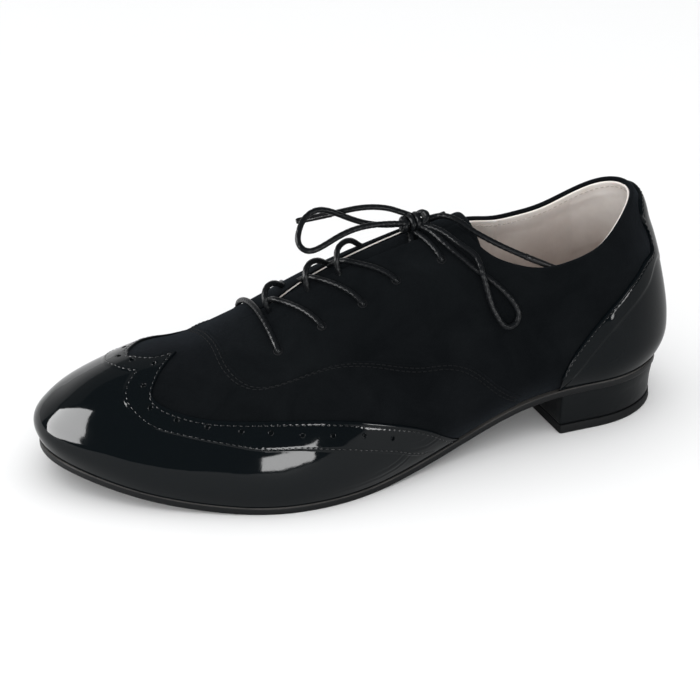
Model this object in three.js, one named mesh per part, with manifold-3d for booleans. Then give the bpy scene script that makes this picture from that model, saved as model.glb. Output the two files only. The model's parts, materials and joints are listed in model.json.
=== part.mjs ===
// A ballroom dance oxford for the left foot: a hollow laced upper on a thin sole with a low block heel.
// +X points to the toe, +Y to the outer side of the foot and +Z up, in millimetres.
// The origin lies on the floor under the middle of the heel.
import * as THREE from 'three';
import { mergeVertices } from 'three/addons/utils/BufferGeometryUtils.js';
import Module from 'manifold-3d';

const wasm = await Module();
wasm.setup();

// Sizes of the last, the form that the shoe is built over
const lastLength = 280;
const ballWidth = 100;
const instepHeight = 92;
const toeSpring = 13;
const toeSwing = 15;
const toeRound = 92;
const heelRound = 43;
const toeFan = 40;
const heelFan = 42;
const featherTuck = 10;
const tuckHeight = 20;

// Sizes of the sole, the insole and the heel
const soleThickness = 3;
const soleEdge = 0.8;
const insoleThickness = 2.5;
const heelHeight = 19;
const heelLength = 62;
const heelBack = 30;
const heelTaper = 0.97;
const topPieceHeight = 4;
const topPieceEdge = 0.4;

// Sizes of the upper, the tongue and the patent pieces
const wall = 1.8;
const backHeight = 75;
const facingOpening = 8;
const tongueWidth = 34;
const tongueThickness = 1.5;
const tongueTopWidth = 25.5;
const patentThickness = 1;
const gap = 0.4;

// Sizes of the laces. Each strand starts a share of its reach beyond the crossing.
const laceDiameter = 2.5;
const tipDiameter = 2.8;
const knotLength = 12;
const knotWidth = 9.6;
const knotHeight = 7.2;
const knotGap = 0.05;
const crossingTuck = 0.15;

// Stations along the last, as shares of its length
const heelBend = 0.12;
const seatEnd = 0.16;
const treadStart = 0.6;
const treadEnd = 0.7;
const collarCorner = 0.34;
const facingTop = 0.362;
const throat = 0.69;
const tongueTop = 0.335;
const tongueFront = 0.74;
const tongueRound = 0.05;
const swingStart = 0.62;
const swingSpan = 0.5;

// Half widths are shares of the ball width, ridge of the instep height and tucks of the feather tuck.
// Square is the power of the rounded section, from the ridge down to the feather edge.
const sections = [
  { at: 0.0, outer: 0.34, inner: 0.34, ridge: 1.0, square: 1.85, tuckOuter: 0.55, tuckInner: 0.55 },
  { at: 0.1, outer: 0.345, inner: 0.345, ridge: 0.985, square: 1.85, tuckOuter: 0.55, tuckInner: 0.55 },
  { at: 0.2, outer: 0.352, inner: 0.337, ridge: 0.93, square: 1.95, tuckOuter: 0.55, tuckInner: 0.75 },
  { at: 0.3, outer: 0.368, inner: 0.312, ridge: 0.87, square: 2.05, tuckOuter: 0.6, tuckInner: 1.15 },
  { at: 0.4, outer: 0.405, inner: 0.31, ridge: 0.865, square: 2.05, tuckOuter: 0.55, tuckInner: 1.25 },
  { at: 0.5, outer: 0.465, inner: 0.35, ridge: 0.85, square: 2.0, tuckOuter: 0.5, tuckInner: 1.05 },
  { at: 0.6, outer: 0.53, inner: 0.425, ridge: 0.77, square: 1.98, tuckOuter: 0.4, tuckInner: 0.7 },
  { at: 0.7, outer: 0.525, inner: 0.49, ridge: 0.63, square: 2.0, tuckOuter: 0.35, tuckInner: 0.4 },
  { at: 0.8, outer: 0.475, inner: 0.508, ridge: 0.53, square: 2.1, tuckOuter: 0.35, tuckInner: 0.35 },
  { at: 0.9, outer: 0.44, inner: 0.497, ridge: 0.42, square: 2.2, tuckOuter: 0.35, tuckInner: 0.35 },
  { at: 1.0, outer: 0.395, inner: 0.48, ridge: 0.34, square: 2.3, tuckOuter: 0.35, tuckInner: 0.35 },
];

// Height of the top line over the heel seat, as a share of the back height
const collar = [
  { at: 0.0, height: 0.993 },
  { at: 0.045, height: 1.0 },
  { at: 0.09, height: 0.933 },
  { at: 0.15, height: 0.793 },
  { at: 0.205, height: 0.731 },
  { at: 0.25, height: 0.72 },
  { at: 0.3, height: 0.767 },
  { at: 0.34, height: 0.86 },
  { at: 0.36, height: 0.96 },
  { at: 0.38, height: 1.093 },
];

// Width of the gap between the facings, as a share of the facing opening
const facing = [
  { at: 0.36, open: 1.0 },
  { at: 0.45, open: 0.85 },
  { at: 0.55, open: 0.7 },
  { at: 0.6, open: 0.5 },
  { at: 0.64, open: 0.22 },
  { at: 0.69, open: 0.0 },
];

// Top edge of the wing cap, from its peak to its end at the sole.
// Across is the distance from the middle line, as a share of the ball width.
const wingOuter = [
  { at: 0.788, across: 0.0 },
  { at: 0.82, across: 0.062 },
  { at: 0.834, across: 0.122 },
  { at: 0.815, across: 0.185 },
  { at: 0.756, across: 0.259 },
  { at: 0.675, across: 0.33 },
  { at: 0.585, across: 0.376 },
  { at: 0.49, across: 0.383 },
  { at: 0.405, across: 0.385 },
];
const wingInner = [
  { at: 0.788, across: 0.0 },
  { at: 0.828, across: 0.03 },
  { at: 0.846, across: 0.075 },
  { at: 0.832, across: 0.135 },
  { at: 0.785, across: 0.205 },
  { at: 0.705, across: 0.272 },
  { at: 0.61, across: 0.295 },
  { at: 0.515, across: 0.288 },
  { at: 0.425, across: 0.296 },
];

// Edge of the heel counter, from the middle of its strip at the back down to its end at the sole
const counterEdge = [
  { at: 0.084, across: 0.0 },
  { at: 0.089, across: 0.055 },
  { at: 0.097, across: 0.092 },
  { at: 0.092, across: 0.114 },
  { at: 0.082, across: 0.132 },
  { at: 0.095, across: 0.182 },
  { at: 0.121, across: 0.227 },
  { at: 0.163, across: 0.275 },
  { at: 0.205, across: 0.305 },
  { at: 0.222, across: 0.335 },
];

// Eyelets from the throat to the top, each on both facings, and where the laces into them cross
const eyelets = [
  { at: 0.668, across: 0.155, crossing: 0.668 },
  { at: 0.601, across: 0.155, crossing: 0.639 },
  { at: 0.535, across: 0.144, crossing: 0.582 },
  { at: 0.474, across: 0.128, crossing: 0.524 },
  { at: 0.408, across: 0.12, crossing: 0.426 },
];

// A natural cubic spline through one column of a table
function spline(rows, column, key = 'at') {
  const x = rows.map((row) => row[key]);
  const y = rows.map((row) => row[column]);
  const last = x.length - 1;
  const bend = new Array(last + 1).fill(0);
  const share = new Array(last + 1).fill(0);
  for (let i = 1; i < last; i++) {
    const before = x[i] - x[i - 1];
    const after = x[i + 1] - x[i];
    const change = 6 * ((y[i + 1] - y[i]) / after - (y[i] - y[i - 1]) / before);
    const pivot = 2 * (before + after) - before * share[i - 1];
    share[i] = after / pivot;
    bend[i] = (change - before * bend[i - 1]) / pivot;
  }
  for (let i = last - 1; i > 0; i--) bend[i] -= share[i] * bend[i + 1];
  return (at) => {
    const t = Math.min(Math.max(at, x[0]), x[last]);
    let i = 0;
    while (i < last - 1 && t > x[i + 1]) i++;
    const step = x[i + 1] - x[i];
    const a = (x[i + 1] - t) / step;
    const b = 1 - a;
    const curve = ((a ** 3 - a) * bend[i] + (b ** 3 - b) * bend[i + 1]) * step * step / 6;
    return a * y[i] + b * y[i + 1] + curve;
  };
}

// A spline through rows of a table that are evenly spaced from 0 to 1
function edgeCurve(rows) {
  const even = rows.map((row, i) => ({ ...row, t: i / (rows.length - 1) }));
  const at = spline(even, 'at', 't');
  const across = spline(even, 'across', 't');
  return (t) => ({ x: at(t) * lastLength, across: across(t) * ballWidth });
}

const clamp = (value, low, high) => Math.min(Math.max(value, low), high);
const mix = (a, b, t) => a + (b - a) * t;

function ease(value) {
  const t = clamp(value, 0, 1);
  return t ** 3 * (10 - 15 * t + 6 * t * t);
}

// The last
const section = {};
for (const column of ['outer', 'inner', 'ridge', 'square', 'tuckOuter', 'tuckInner']) {
  section[column] = spline(sections, column);
}
const outlinePower = 2.15;
const tuckPower = 2.2;
const springPower = 2.2;
const fanReach = 2.6;

// Rows of a mesh crowd towards the feather edge, where the surface bends most.
// Normals are taken over a small step, and points closer than the weld distance are one.
const rowCrowding = 1.5;
const normalStep = 0.001;
const weldDistance = 0.001;
const joinTolerance = 0.04;
const highestFootShare = 0.2;

// Here x runs from the back of the last; shoeX moves it to the shoe's own origin.
const shoeX = (x) => x - heelBack;
const station = (x) => clamp((x + heelBack) / lastLength, 0, 1);

function soleUnderside(x) {
  const at = station(x);
  const drop = 1 - ease((at - seatEnd) / (treadStart - seatEnd));
  const lift = clamp((at - treadEnd) / (1 - treadEnd), 0, 1) ** springPower;
  return heelHeight * drop + toeSpring * lift;
}

// Height of the feather edge, where the upper meets the sole
const featherHeight = (x) => soleUnderside(x) + soleThickness + gap;

const middle = (x) => -toeSwing * ease((x / lastLength - swingStart) / swingSpan);

function halfWidth(side, at) {
  const width = section[side > 0 ? 'outer' : 'inner'](at) * ballWidth;
  const heel = clamp(1 - at * lastLength / heelRound, 0, 1) ** outlinePower;
  const toe = clamp(1 - (1 - at) * lastLength / toeRound, 0, 1) ** outlinePower;
  return width * ((1 - heel) * (1 - toe)) ** (1 / outlinePower);
}

// The ridge is shorter than the outline: at the toe and the heel its points fan out to the outline.
function ridgeX(x) {
  const toe = clamp(1 - (lastLength - x) / (fanReach * toeFan), 0, 1);
  const heel = clamp(1 - x / (fanReach * heelFan), 0, 1);
  return x - toeFan * toe * toe + heelFan * heel * heel;
}

// The rib of the last at one share of the way along: its foot on the outline and its head on the ridge
function rib(side, along) {
  const at = (1 - Math.cos(Math.PI * along)) / 2;
  const x = at * lastLength;
  const headX = ridgeX(x);
  return {
    at,
    foot: [x, middle(x) + side * halfWidth(side, at)],
    head: [headX, middle(headX)],
  };
}

function bareLastPoint(side, along, up) {
  if (along < 0) return bareLastPoint(-side, -along, up);
  if (along > 1) return bareLastPoint(-side, 2 - along, up);
  if (up > 1) return bareLastPoint(-side, along, 2 - up);
  const { at, foot, head } = rib(side, along);
  const reach = Math.hypot(foot[0] - head[0], foot[1] - head[1]);
  const out = [(foot[0] - head[0]) / reach, (foot[1] - head[1]) / reach];
  const power = 2 / section.square(head[0] / lastLength);
  const angle = up * Math.PI / 2;
  const spread = reach * Math.cos(angle) ** power;
  const rise = Math.sign(up) * Math.abs(Math.sin(angle)) ** power;
  const x = shoeX(head[0] + out[0] * spread);
  const height = rise * section.ridge(station(x)) * instepHeight;
  const tuck = section[side > 0 ? 'tuckOuter' : 'tuckInner'](at) * featherTuck;
  const inward = tuck * clamp(1 - height / tuckHeight, 0, 3) ** tuckPower;
  return new THREE.Vector3(
    x - out[0] * inward,
    head[1] + out[1] * (spread - inward),
    featherHeight(x) + height,
  );
}

function offsetPoint(side, along, up, off) {
  const point = bareLastPoint(side, along, up);
  if (off === 0) return point;
  const ahead = bareLastPoint(side, along + normalStep, up);
  const behind = bareLastPoint(side, along - normalStep, up);
  const above = bareLastPoint(side, along, up + normalStep);
  const below = bareLastPoint(side, along, up - normalStep);
  const normal = ahead.sub(behind).cross(above.sub(below)).normalize();
  const { head } = rib(side, along);
  const core = new THREE.Vector3(shoeX(head[0]), head[1], featherHeight(shoeX(head[0])));
  if (normal.dot(core.sub(point)) > 0) normal.negate();
  return point.addScaledVector(normal, off);
}

function solveRising(f, low, high) {
  for (let i = 0; i < 50; i++) {
    const half = (low + high) / 2;
    if (f(half) > 0) high = half;
    else low = half;
  }
  return (low + high) / 2;
}

// The share of the way up at which a surface outside the last comes down to the feather edge
const footShares = new Map();
function footShare(side, along, off) {
  const key = [side, along, off].join(' ');
  if (!footShares.has(key)) {
    const over = (up) => {
      const point = offsetPoint(side, along, up, off);
      return point.z - featherHeight(point.x);
    };
    footShares.set(key, over(0) < 0 ? solveRising(over, 0, highestFootShare) : 0);
  }
  return footShares.get(key);
}

// A point of the last, off it by a distance. Side is 1 on the outer side, along runs from the back
// to the toe, and up from the feather edge to the ridge, all from 0 to 1.
function lastPoint(side, along, up, off = 0) {
  const low = off > 0 ? footShare(side, along, off) : 0;
  const point = offsetPoint(side, along, mix(low, 1, up), off);
  if (up === 0) point.z = featherHeight(point.x);
  return point;
}

const alongAt = (at) => Math.acos(1 - 2 * at) / Math.PI;

// Place on the last of a point of the flat pattern, x from the back and across from the middle line
function patternPlace(x, across) {
  const side = across < 0 ? -1 : 1;
  const toeHead = lastLength - toeFan;
  if (Math.abs(across) < 1e-6) {
    if (x > toeHead) return { side, along: 1, up: 1 - (x - toeHead) / toeFan };
    if (x < heelFan) return { side, along: 0, up: x / heelFan };
  }
  const centre = x > toeHead ? mix(middle(toeHead), middle(lastLength), (x - toeHead) / toeFan) : middle(x);
  const y = centre + across;
  const turn = (along) => {
    const { foot, head } = rib(side, along);
    return side * ((foot[0] - head[0]) * (y - head[1]) - (foot[1] - head[1]) * (x - head[0]));
  };
  const past = (along) => rib(side, along).head[0] - x;
  const along = solveRising(Math.abs(across) < 1e-6 ? past : turn, 0, 1);
  const { foot, head } = rib(side, along);
  const reach = Math.hypot(foot[0] - head[0], foot[1] - head[1]);
  return { side, along, up: clamp(1 - Math.hypot(x - head[0], y - head[1]) / reach, 0, 1) };
}

function patternPoint(x, across, off) {
  const { side, along, up } = patternPlace(x, across);
  return lastPoint(side, along, up, off);
}

// Meshes from shells, plates and tubes
function toMesh(name, geometry, material) {
  const mesh = new THREE.Mesh(geometry, material);
  mesh.name = name;
  return mesh;
}

function geometryOf(points, faces) {
  const geometry = new THREE.BufferGeometry();
  geometry.setAttribute('position', new THREE.Float32BufferAttribute(points.flatMap((p) => p.toArray()), 3));
  geometry.setIndex(faces.flat());
  return geometry;
}

function volumeOf(points, faces) {
  let sum = 0;
  for (const [a, b, c] of faces) sum += points[a].dot(points[b].clone().cross(points[c]));
  return sum / 6;
}

// A closed shell from quads whose corners each hold an inner and an outer point.
// Open edges are closed by a rim, and quads that shrink to a triangle are welded.
function shell(quads) {
  const points = [];
  const index = new Map();
  const find = (point) => {
    const key = point.toArray().map((value) => Math.round(value * 500)).join(' ');
    if (!index.has(key)) {
      index.set(key, points.length);
      points.push(point);
    }
    return index.get(key);
  };
  const faces = [];
  const edges = new Map();
  const addFace = (corners) => {
    const outer = corners.map((corner) => find(corner.outer));
    const inner = corners.map((corner) => find(corner.inner));
    if (new Set(outer).size < 3) return;
    faces.push(outer, [inner[2], inner[1], inner[0]]);
    for (let i = 0; i < 3; i++) {
      const j = (i + 1) % 3;
      const back = outer[j] + ' ' + outer[i];
      if (edges.has(back)) edges.delete(back);
      else edges.set(outer[i] + ' ' + outer[j], [outer[i], outer[j], inner[i], inner[j]]);
    }
  };
  for (const [a, b, c, d] of quads) {
    addFace([a, b, c]);
    addFace([a, c, d]);
  }
  for (const [outerA, outerB, innerA, innerB] of edges.values()) {
    faces.push([outerB, outerA, innerA], [outerB, innerA, innerB]);
  }
  if (volumeOf(points, faces) < 0) faces.forEach((face) => face.reverse());
  return geometryOf(points, faces);
}

// Quads of a grid of corners, turned over on the inner side so that both sides face outward
function gridQuads(grid, side) {
  const quads = [];
  for (let i = 0; i + 1 < grid.length; i++) {
    for (let j = 0; j + 1 < grid[i].length; j++) {
      const quad = [grid[i][j], grid[i + 1][j], grid[i + 1][j + 1], grid[i][j + 1]];
      quads.push(side > 0 ? quad : quad.reverse());
    }
  }
  return quads;
}

function corner(side, along, up, inner, outer) {
  return { inner: lastPoint(side, along, up, inner), outer: lastPoint(side, along, up, outer) };
}

// Steps from the first to the last stop, each stretch cut into its own number of steps
function stretches(stops) {
  const values = [stops[0].from];
  for (const { from, to, steps } of stops) {
    for (let i = 1; i <= steps; i++) values.push(mix(from, to, i / steps));
  }
  return values;
}

// The upper
const collarHeight = spline(collar, 'height');
const facingOpen = spline(facing, 'open');
const seatHeight = heelHeight + soleThickness;

function topLineLimit(side, along) {
  const over = (up) => {
    const point = bareLastPoint(side, along, up);
    return point.z - seatHeight - backHeight * collarHeight(station(point.x));
  };
  return over(1) > 0 ? solveRising(over, 0, 1) : 1;
}

function facingLimit(side, along) {
  const { at, foot, head } = rib(side, along);
  if (at >= throat) return 1;
  const half = Math.max(facingOpen(at), 0) * facingOpening / 2;
  return 1 - half / Math.hypot(foot[0] - head[0], foot[1] - head[1]);
}

function makeUpper() {
  const alongs = stretches([
    { from: 0, to: alongAt(heelBend), steps: 10 },
    { from: alongAt(heelBend), to: alongAt(collarCorner), steps: 6 },
    { from: alongAt(collarCorner), to: alongAt(facingTop), steps: 2 },
    { from: alongAt(facingTop), to: alongAt(throat), steps: 8 },
    { from: alongAt(throat), to: 1, steps: 14 },
  ]);
  const rows = 12;
  const quads = [];
  for (const side of [1, -1]) {
    const grid = alongs.map((along) => {
      const facingUp = facingLimit(side, along);
      const limit = rib(side, along).at < throat ? Math.min(topLineLimit(side, along), facingUp) : 1;
      return Array.from({ length: rows + 1 }, (_, j) => (
        corner(side, along, limit * (j / rows) ** rowCrowding, 0, wall)
      ));
    });
    quads.push(...gridQuads(grid, side));
  }
  return toMesh('upper', shell(quads), suede);
}

// A patent piece over the upper, between its own edge and the feather edge from one station to another
function makePatentPiece(name, edges, startAlong, steps, rows) {
  const quads = [];
  for (const side of [1, -1]) {
    const edge = edgeCurve(side > 0 ? edges.outer : edges.inner);
    const endAlong = patternPlace(edge(1).x, side * edge(1).across).along;
    const grid = [];
    for (let i = 0; i <= steps; i++) {
      const along = mix(startAlong, endAlong, i / steps);
      const { foot } = rib(side, along);
      const footAcross = i === 0 ? 0 : foot[1] - middle(foot[0]);
      const from = edge(i / steps);
      const line = [];
      for (let j = 0; j < rows; j++) {
        const share = 1 - (1 - j / rows) ** rowCrowding;
        const x = mix(from.x, foot[0], share);
        const across = mix(side * from.across, footAcross, share);
        const place = patternPlace(x, across);
        line.push(corner(side, place.along, place.up, wall + gap, wall + gap + patentThickness));
      }
      line.push(corner(side, along, 0, wall + gap, wall + gap + patentThickness));
      grid.push(line);
    }
    quads.push(...gridQuads(grid, side));
  }
  return toMesh(name, shell(quads), patent);
}

function makeTongue() {
  const alongs = stretches([{ from: alongAt(tongueTop), to: alongAt(tongueFront), steps: 13 }]);
  const rows = 7;
  const quads = [];
  for (const side of [1, -1]) {
    const grid = alongs.map((along) => {
      const { at, foot, head } = rib(side, along);
      const near = clamp(1 - (at - tongueTop) / tongueRound, 0, 1);
      const half = mix(tongueWidth, tongueTopWidth, near * near) / 2;
      const low = 1 - half / Math.hypot(foot[0] - head[0], foot[1] - head[1]);
      return Array.from({ length: rows + 1 }, (_, j) => (
        corner(side, along, mix(low, 1, j / rows), -2 * gap - tongueThickness, -2 * gap)
      ));
    });
    quads.push(...gridQuads(grid, side));
  }
  return toMesh('tongue', shell(quads), suede);
}

// A flat layer between two outlines, one at its top and one at its underside
function plate(alongs, outline, topHeight, undersideHeight, across) {
  const grid = alongs.map((along, i) => {
    const row = [];
    const isFront = i === alongs.length - 1;
    const ends = [1, -1].map((side) => ({
      top: outline(side, along, 'top', isFront),
      underside: outline(side, along, 'underside', isFront),
    }));
    for (let j = 0; j <= across; j++) {
      const blend = (level, height) => {
        const x = mix(ends[0][level][0], ends[1][level][0], j / across);
        const y = mix(ends[0][level][1], ends[1][level][1], j / across);
        return new THREE.Vector3(x, y, height(x));
      };
      row.push({ outer: blend('top', topHeight), inner: blend('underside', undersideHeight) });
    }
    return row;
  });
  return shell(gridQuads(grid, 1));
}

// Outline of the sole, a little outside the upper's lower edge
function soleOutline(side, along, edge) {
  const point = lastPoint(side, along, 0, wall + patentThickness + gap + edge);
  return [point.x, point.y];
}

function makeInsole() {
  const outline = (side, along) => {
    const point = lastPoint(side, along, 0, -gap);
    return [point.x, point.y];
  };
  const alongs = stretches([{ from: 0, to: 1, steps: 34 }]);
  const top = (x) => featherHeight(x) + insoleThickness;
  return toMesh('insole', plate(alongs, outline, top, featherHeight, 2), lining);
}

function makeOutsole() {
  const alongs = stretches([
    { from: 0, to: alongAt(seatEnd), steps: 8 },
    { from: alongAt(seatEnd), to: alongAt(treadStart), steps: 14 },
    { from: alongAt(treadStart), to: alongAt(treadEnd), steps: 2 },
    { from: alongAt(treadEnd), to: 1, steps: 16 },
  ]);
  const outline = (side, along) => soleOutline(side, along, soleEdge);
  const top = (x) => soleUnderside(x) + soleThickness;
  return toMesh('outsole', plate(alongs, outline, top, soleUnderside, 2), soleLeather);
}

// The heel follows the sole's outline back from its flat breast
const breastX = heelLength - heelBack;

function heelOutline(edge, topTaper, undersideTaper) {
  return (side, along, level, atBreast) => {
    const [x, y] = soleOutline(side, along, edge);
    const share = level === 'top' ? topTaper : undersideTaper;
    return [atBreast ? breastX : breastX - (breastX - x) * share, y * share];
  };
}

function makeHeel() {
  const alongs = stretches([{ from: 0, to: alongAt(heelLength / lastLength), steps: 12 }]);
  const blockFoot = topPieceHeight + gap;
  const blockTop = (x) => soleUnderside(x) - gap;
  const block = plate(alongs, heelOutline(0, 1, heelTaper), blockTop, () => blockFoot, 2);
  const topPieceOutline = heelOutline(topPieceEdge, heelTaper, heelTaper);
  const topPiece = plate(alongs, topPieceOutline, () => topPieceHeight, () => 0, 2);
  return [toMesh('heel_block', block, heelCover), toMesh('heel_top_piece', topPiece, rubber)];
}

// The laces
const laceSpacing = 3 * laceDiameter;

function tube(points, diameter) {
  const curve = new THREE.CatmullRomCurve3(points, false, 'centripetal');
  const sides = 8;
  const shape = new THREE.Shape();
  for (let i = 0; i < sides; i++) {
    const angle = 2 * Math.PI * i / sides;
    const x = diameter / 2 * Math.cos(angle);
    const y = diameter / 2 * Math.sin(angle);
    if (i === 0) shape.moveTo(x, y);
    else shape.lineTo(x, y);
  }
  const steps = Math.max(2, Math.round(curve.getLength() / laceSpacing));
  const geometry = new THREE.ExtrudeGeometry(shape, { steps, bevelEnabled: false, extrudePath: curve });
  geometry.deleteAttribute('normal');
  geometry.deleteAttribute('uv');
  return mergeVertices(geometry, weldDistance);
}

function toSolid(geometry) {
  const vertProperties = new Float32Array(geometry.getAttribute('position').array);
  const triVerts = new Uint32Array(geometry.getIndex().array);
  return new wasm.Manifold(new wasm.Mesh({ numProp: 3, vertProperties, triVerts }));
}

function fromSolid(solid) {
  const { vertProperties, triVerts } = solid.simplify(joinTolerance).getMesh();
  const geometry = new THREE.BufferGeometry();
  geometry.setAttribute('position', new THREE.BufferAttribute(vertProperties, 3));
  geometry.setIndex(new THREE.BufferAttribute(triVerts, 1));
  return geometry;
}

const laceLift = wall + gap + laceDiameter / 2;

// A point of a lace that lies over the facings, at shares of the last length and the ball width
function overFacing(at, across) {
  return patternPoint(at * lastLength, across * ballWidth, laceLift);
}

// One strand from its crossing over a facing to an eyelet
function crossingStrand(eyelet, side, diameter) {
  const route = [];
  for (let j = 0; j <= 6; j++) {
    const reach = mix(-crossingTuck, 1, j / 6);
    const at = eyelet.crossing + (eyelet.at - eyelet.crossing) * reach;
    route.push(overFacing(at, side * reach * eyelet.across));
  }
  return toSolid(tube(route, diameter));
}

function crossingPair(eyelet, diameter) {
  return crossingStrand(eyelet, 1, diameter).add(crossingStrand(eyelet, -1, diameter));
}

function makeLacing() {
  const first = eyelets[0];
  const bar = [];
  for (let i = 0; i <= 8; i++) {
    bar.push(overFacing(first.at, mix(first.across, -first.across, i / 8)));
  }
  const pieces = [toMesh('lace_bar', tube(bar, laceDiameter), cord)];
  for (let i = 1; i < eyelets.length; i++) {
    pieces.push(toMesh('lace_cross_' + i, fromSolid(crossingPair(eyelets[i], laceDiameter)), cord));
  }
  return pieces;
}

// The knot sits over the top crossing, and the free laces come out of it
const knotCentre = [88, 0, 95.4];

// Routes of the free laces, each from inside the knot outward
const outerLoop = [
  [86, 2.5, 94.8], [83, 6.7, 95.1], [80.8, 10, 94.7], [78.5, 13.7, 93.6], [75.2, 19.7, 91.1],
  [70.9, 24.6, 87.7], [69.6, 27.8, 83.8], [68.4, 31, 76.4], [66.9, 33.2, 68.9], [64.8, 35, 63.2],
  [60.6, 36.2, 58], [56, 35.8, 59.4], [55.6, 34.6, 65], [62, 31, 74], [67.2, 27.7, 78.8],
  [71.2, 25, 82], [74.6, 21.9, 85.4], [77.9, 18.1, 88.4], [81.2, 12.8, 91.6], [82.8, 8.8, 93.2],
  [85.1, 5.1, 94.4], [87, 2.2, 94.6],
];
const frontLoop = [
  [89.9, -1, 94.8], [94.9, -2, 94.6], [99.4, -3, 94.7], [107.2, -5, 96], [117.1, -6, 100.4],
  [128.1, -5, 105.2], [135.1, -3, 103.5], [138.9, 0, 99.5], [140.1, 3, 95.1], [136.9, 6, 92.7],
  [126.7, 7, 96.4], [114.8, 6, 99.4], [102.4, 4, 98.4], [97, 3, 97.3], [91.2, 2, 96],
];
const frontEnd = [
  [86.3, -2, 96.4], [89, -3, 97.8], [91.8, -4, 98.9], [96, -6, 100.3], [101.9, -8, 101.2],
  [107.9, -10, 101], [114.7, -11, 100.3], [120.1, -12, 99.4],
];
const frontTip = [[120.4, -12.04, 99.36], [127.5, -13, 98.5], [134.9, -14, 97.6]];
const backEnd = [
  [84.8, 0, 95.2], [82.1, 1, 96.2], [78, 3, 97.7], [74.3, 7, 98.2], [70.6, 11, 96.5], [68, 13.5, 94.4],
  [61.9, 18, 90.6], [55.5, 21, 87], [47, 23.5, 82.5],
];
const backTip = [[46.7, 23.56, 82.34], [39, 24.8, 78.4], [31.3, 26, 74.5]];

function vectors(rows) {
  return rows.map((row) => new THREE.Vector3(...row));
}

function knotGeometry(clearance) {
  const geometry = new THREE.SphereGeometry(1, 12, 8);
  geometry.scale(knotLength / 2 + clearance, knotWidth / 2 + clearance, knotHeight / 2 + clearance);
  geometry.translate(...knotCentre);
  geometry.deleteAttribute('normal');
  geometry.deleteAttribute('uv');
  return mergeVertices(geometry, weldDistance);
}

function makeBow() {
  const crossing = crossingPair(eyelets[eyelets.length - 1], laceDiameter + 2 * knotGap);
  const knot = toSolid(knotGeometry(0)).subtract(crossing);
  const knotSpace = toSolid(knotGeometry(knotGap));
  const freeLace = (name, route) => {
    const lace = toSolid(tube(vectors(route), laceDiameter)).subtract(knotSpace);
    return toMesh(name, fromSolid(lace), cord);
  };
  return [
    toMesh('lace_knot', fromSolid(knot), cord),
    freeLace('lace_loop_outer', outerLoop),
    freeLace('lace_loop_front', frontLoop),
    freeLace('lace_end_front', frontEnd),
    toMesh('lace_tip_front', tube(vectors(frontTip), tipDiameter), tip),
    freeLace('lace_end_back', backEnd),
    toMesh('lace_tip_back', tube(vectors(backTip), tipDiameter), tip),
  ];
}

// Materials
const suede = new THREE.MeshStandardMaterial({ color: 0x17181a, roughness: 0.95, metalness: 0 });
const patent = new THREE.MeshStandardMaterial({ color: 0x0a0b0d, roughness: 0.08, metalness: 0 });
const lining = new THREE.MeshStandardMaterial({ color: 0xcfc6ba, roughness: 0.6, metalness: 0 });
const soleLeather = new THREE.MeshStandardMaterial({ color: 0x101113, roughness: 0.55, metalness: 0 });
const heelCover = new THREE.MeshStandardMaterial({ color: 0x111214, roughness: 0.4, metalness: 0 });
const rubber = new THREE.MeshStandardMaterial({ color: 0x0c0c0d, roughness: 0.8, metalness: 0 });
const cord = new THREE.MeshStandardMaterial({ color: 0x121315, roughness: 0.5, metalness: 0 });
const tip = new THREE.MeshStandardMaterial({ color: 0x0e0e10, roughness: 0.35, metalness: 0 });

// The shoe
const shoe = new THREE.Group();
shoe.add(
  makeUpper(),
  makePatentPiece('wing_cap', { outer: wingOuter, inner: wingInner }, 1, 26, 10),
  makePatentPiece('heel_counter', { outer: counterEdge, inner: counterEdge }, 0, 15, 9),
  makeTongue(),
  makeInsole(),
  makeOutsole(),
  ...makeHeel(),
  ...makeLacing(),
  ...makeBow(),
);

export default shoe;
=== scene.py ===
import json
import math

import bmesh
import bpy
import numpy as np
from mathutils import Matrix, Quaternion, Vector

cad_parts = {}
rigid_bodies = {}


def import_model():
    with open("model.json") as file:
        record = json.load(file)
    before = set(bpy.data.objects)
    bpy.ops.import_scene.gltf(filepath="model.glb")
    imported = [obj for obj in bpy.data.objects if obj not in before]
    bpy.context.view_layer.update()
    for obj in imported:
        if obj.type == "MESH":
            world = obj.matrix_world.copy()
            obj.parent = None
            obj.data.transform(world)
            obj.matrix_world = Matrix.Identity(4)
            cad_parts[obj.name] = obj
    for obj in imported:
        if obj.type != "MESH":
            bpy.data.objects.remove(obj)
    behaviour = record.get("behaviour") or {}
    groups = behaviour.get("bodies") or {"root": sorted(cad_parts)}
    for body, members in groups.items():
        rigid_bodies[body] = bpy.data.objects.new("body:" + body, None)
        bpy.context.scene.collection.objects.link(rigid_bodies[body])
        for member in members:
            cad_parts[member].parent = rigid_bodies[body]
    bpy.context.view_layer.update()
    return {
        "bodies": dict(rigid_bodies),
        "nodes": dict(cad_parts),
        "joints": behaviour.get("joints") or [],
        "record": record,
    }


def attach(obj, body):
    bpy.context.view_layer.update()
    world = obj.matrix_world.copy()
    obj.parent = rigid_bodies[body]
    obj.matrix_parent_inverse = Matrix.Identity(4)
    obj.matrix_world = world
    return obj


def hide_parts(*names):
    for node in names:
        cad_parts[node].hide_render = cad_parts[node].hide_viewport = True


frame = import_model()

# The camera stands on the outer side of the left shoe, ahead of its middle, and looks down at it.
# Lengths of the shoe are written in millimetres and turned into metres where a mesh is made.
mm = 0.001
view_azimuth = math.radians(158)
view_elevation = math.radians(26.4)
view_distance = 942
view_target = Vector((116.4, 0, 41))
sensor_width = 36
image_pixels = 700
focal_pixels = 2221

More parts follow.
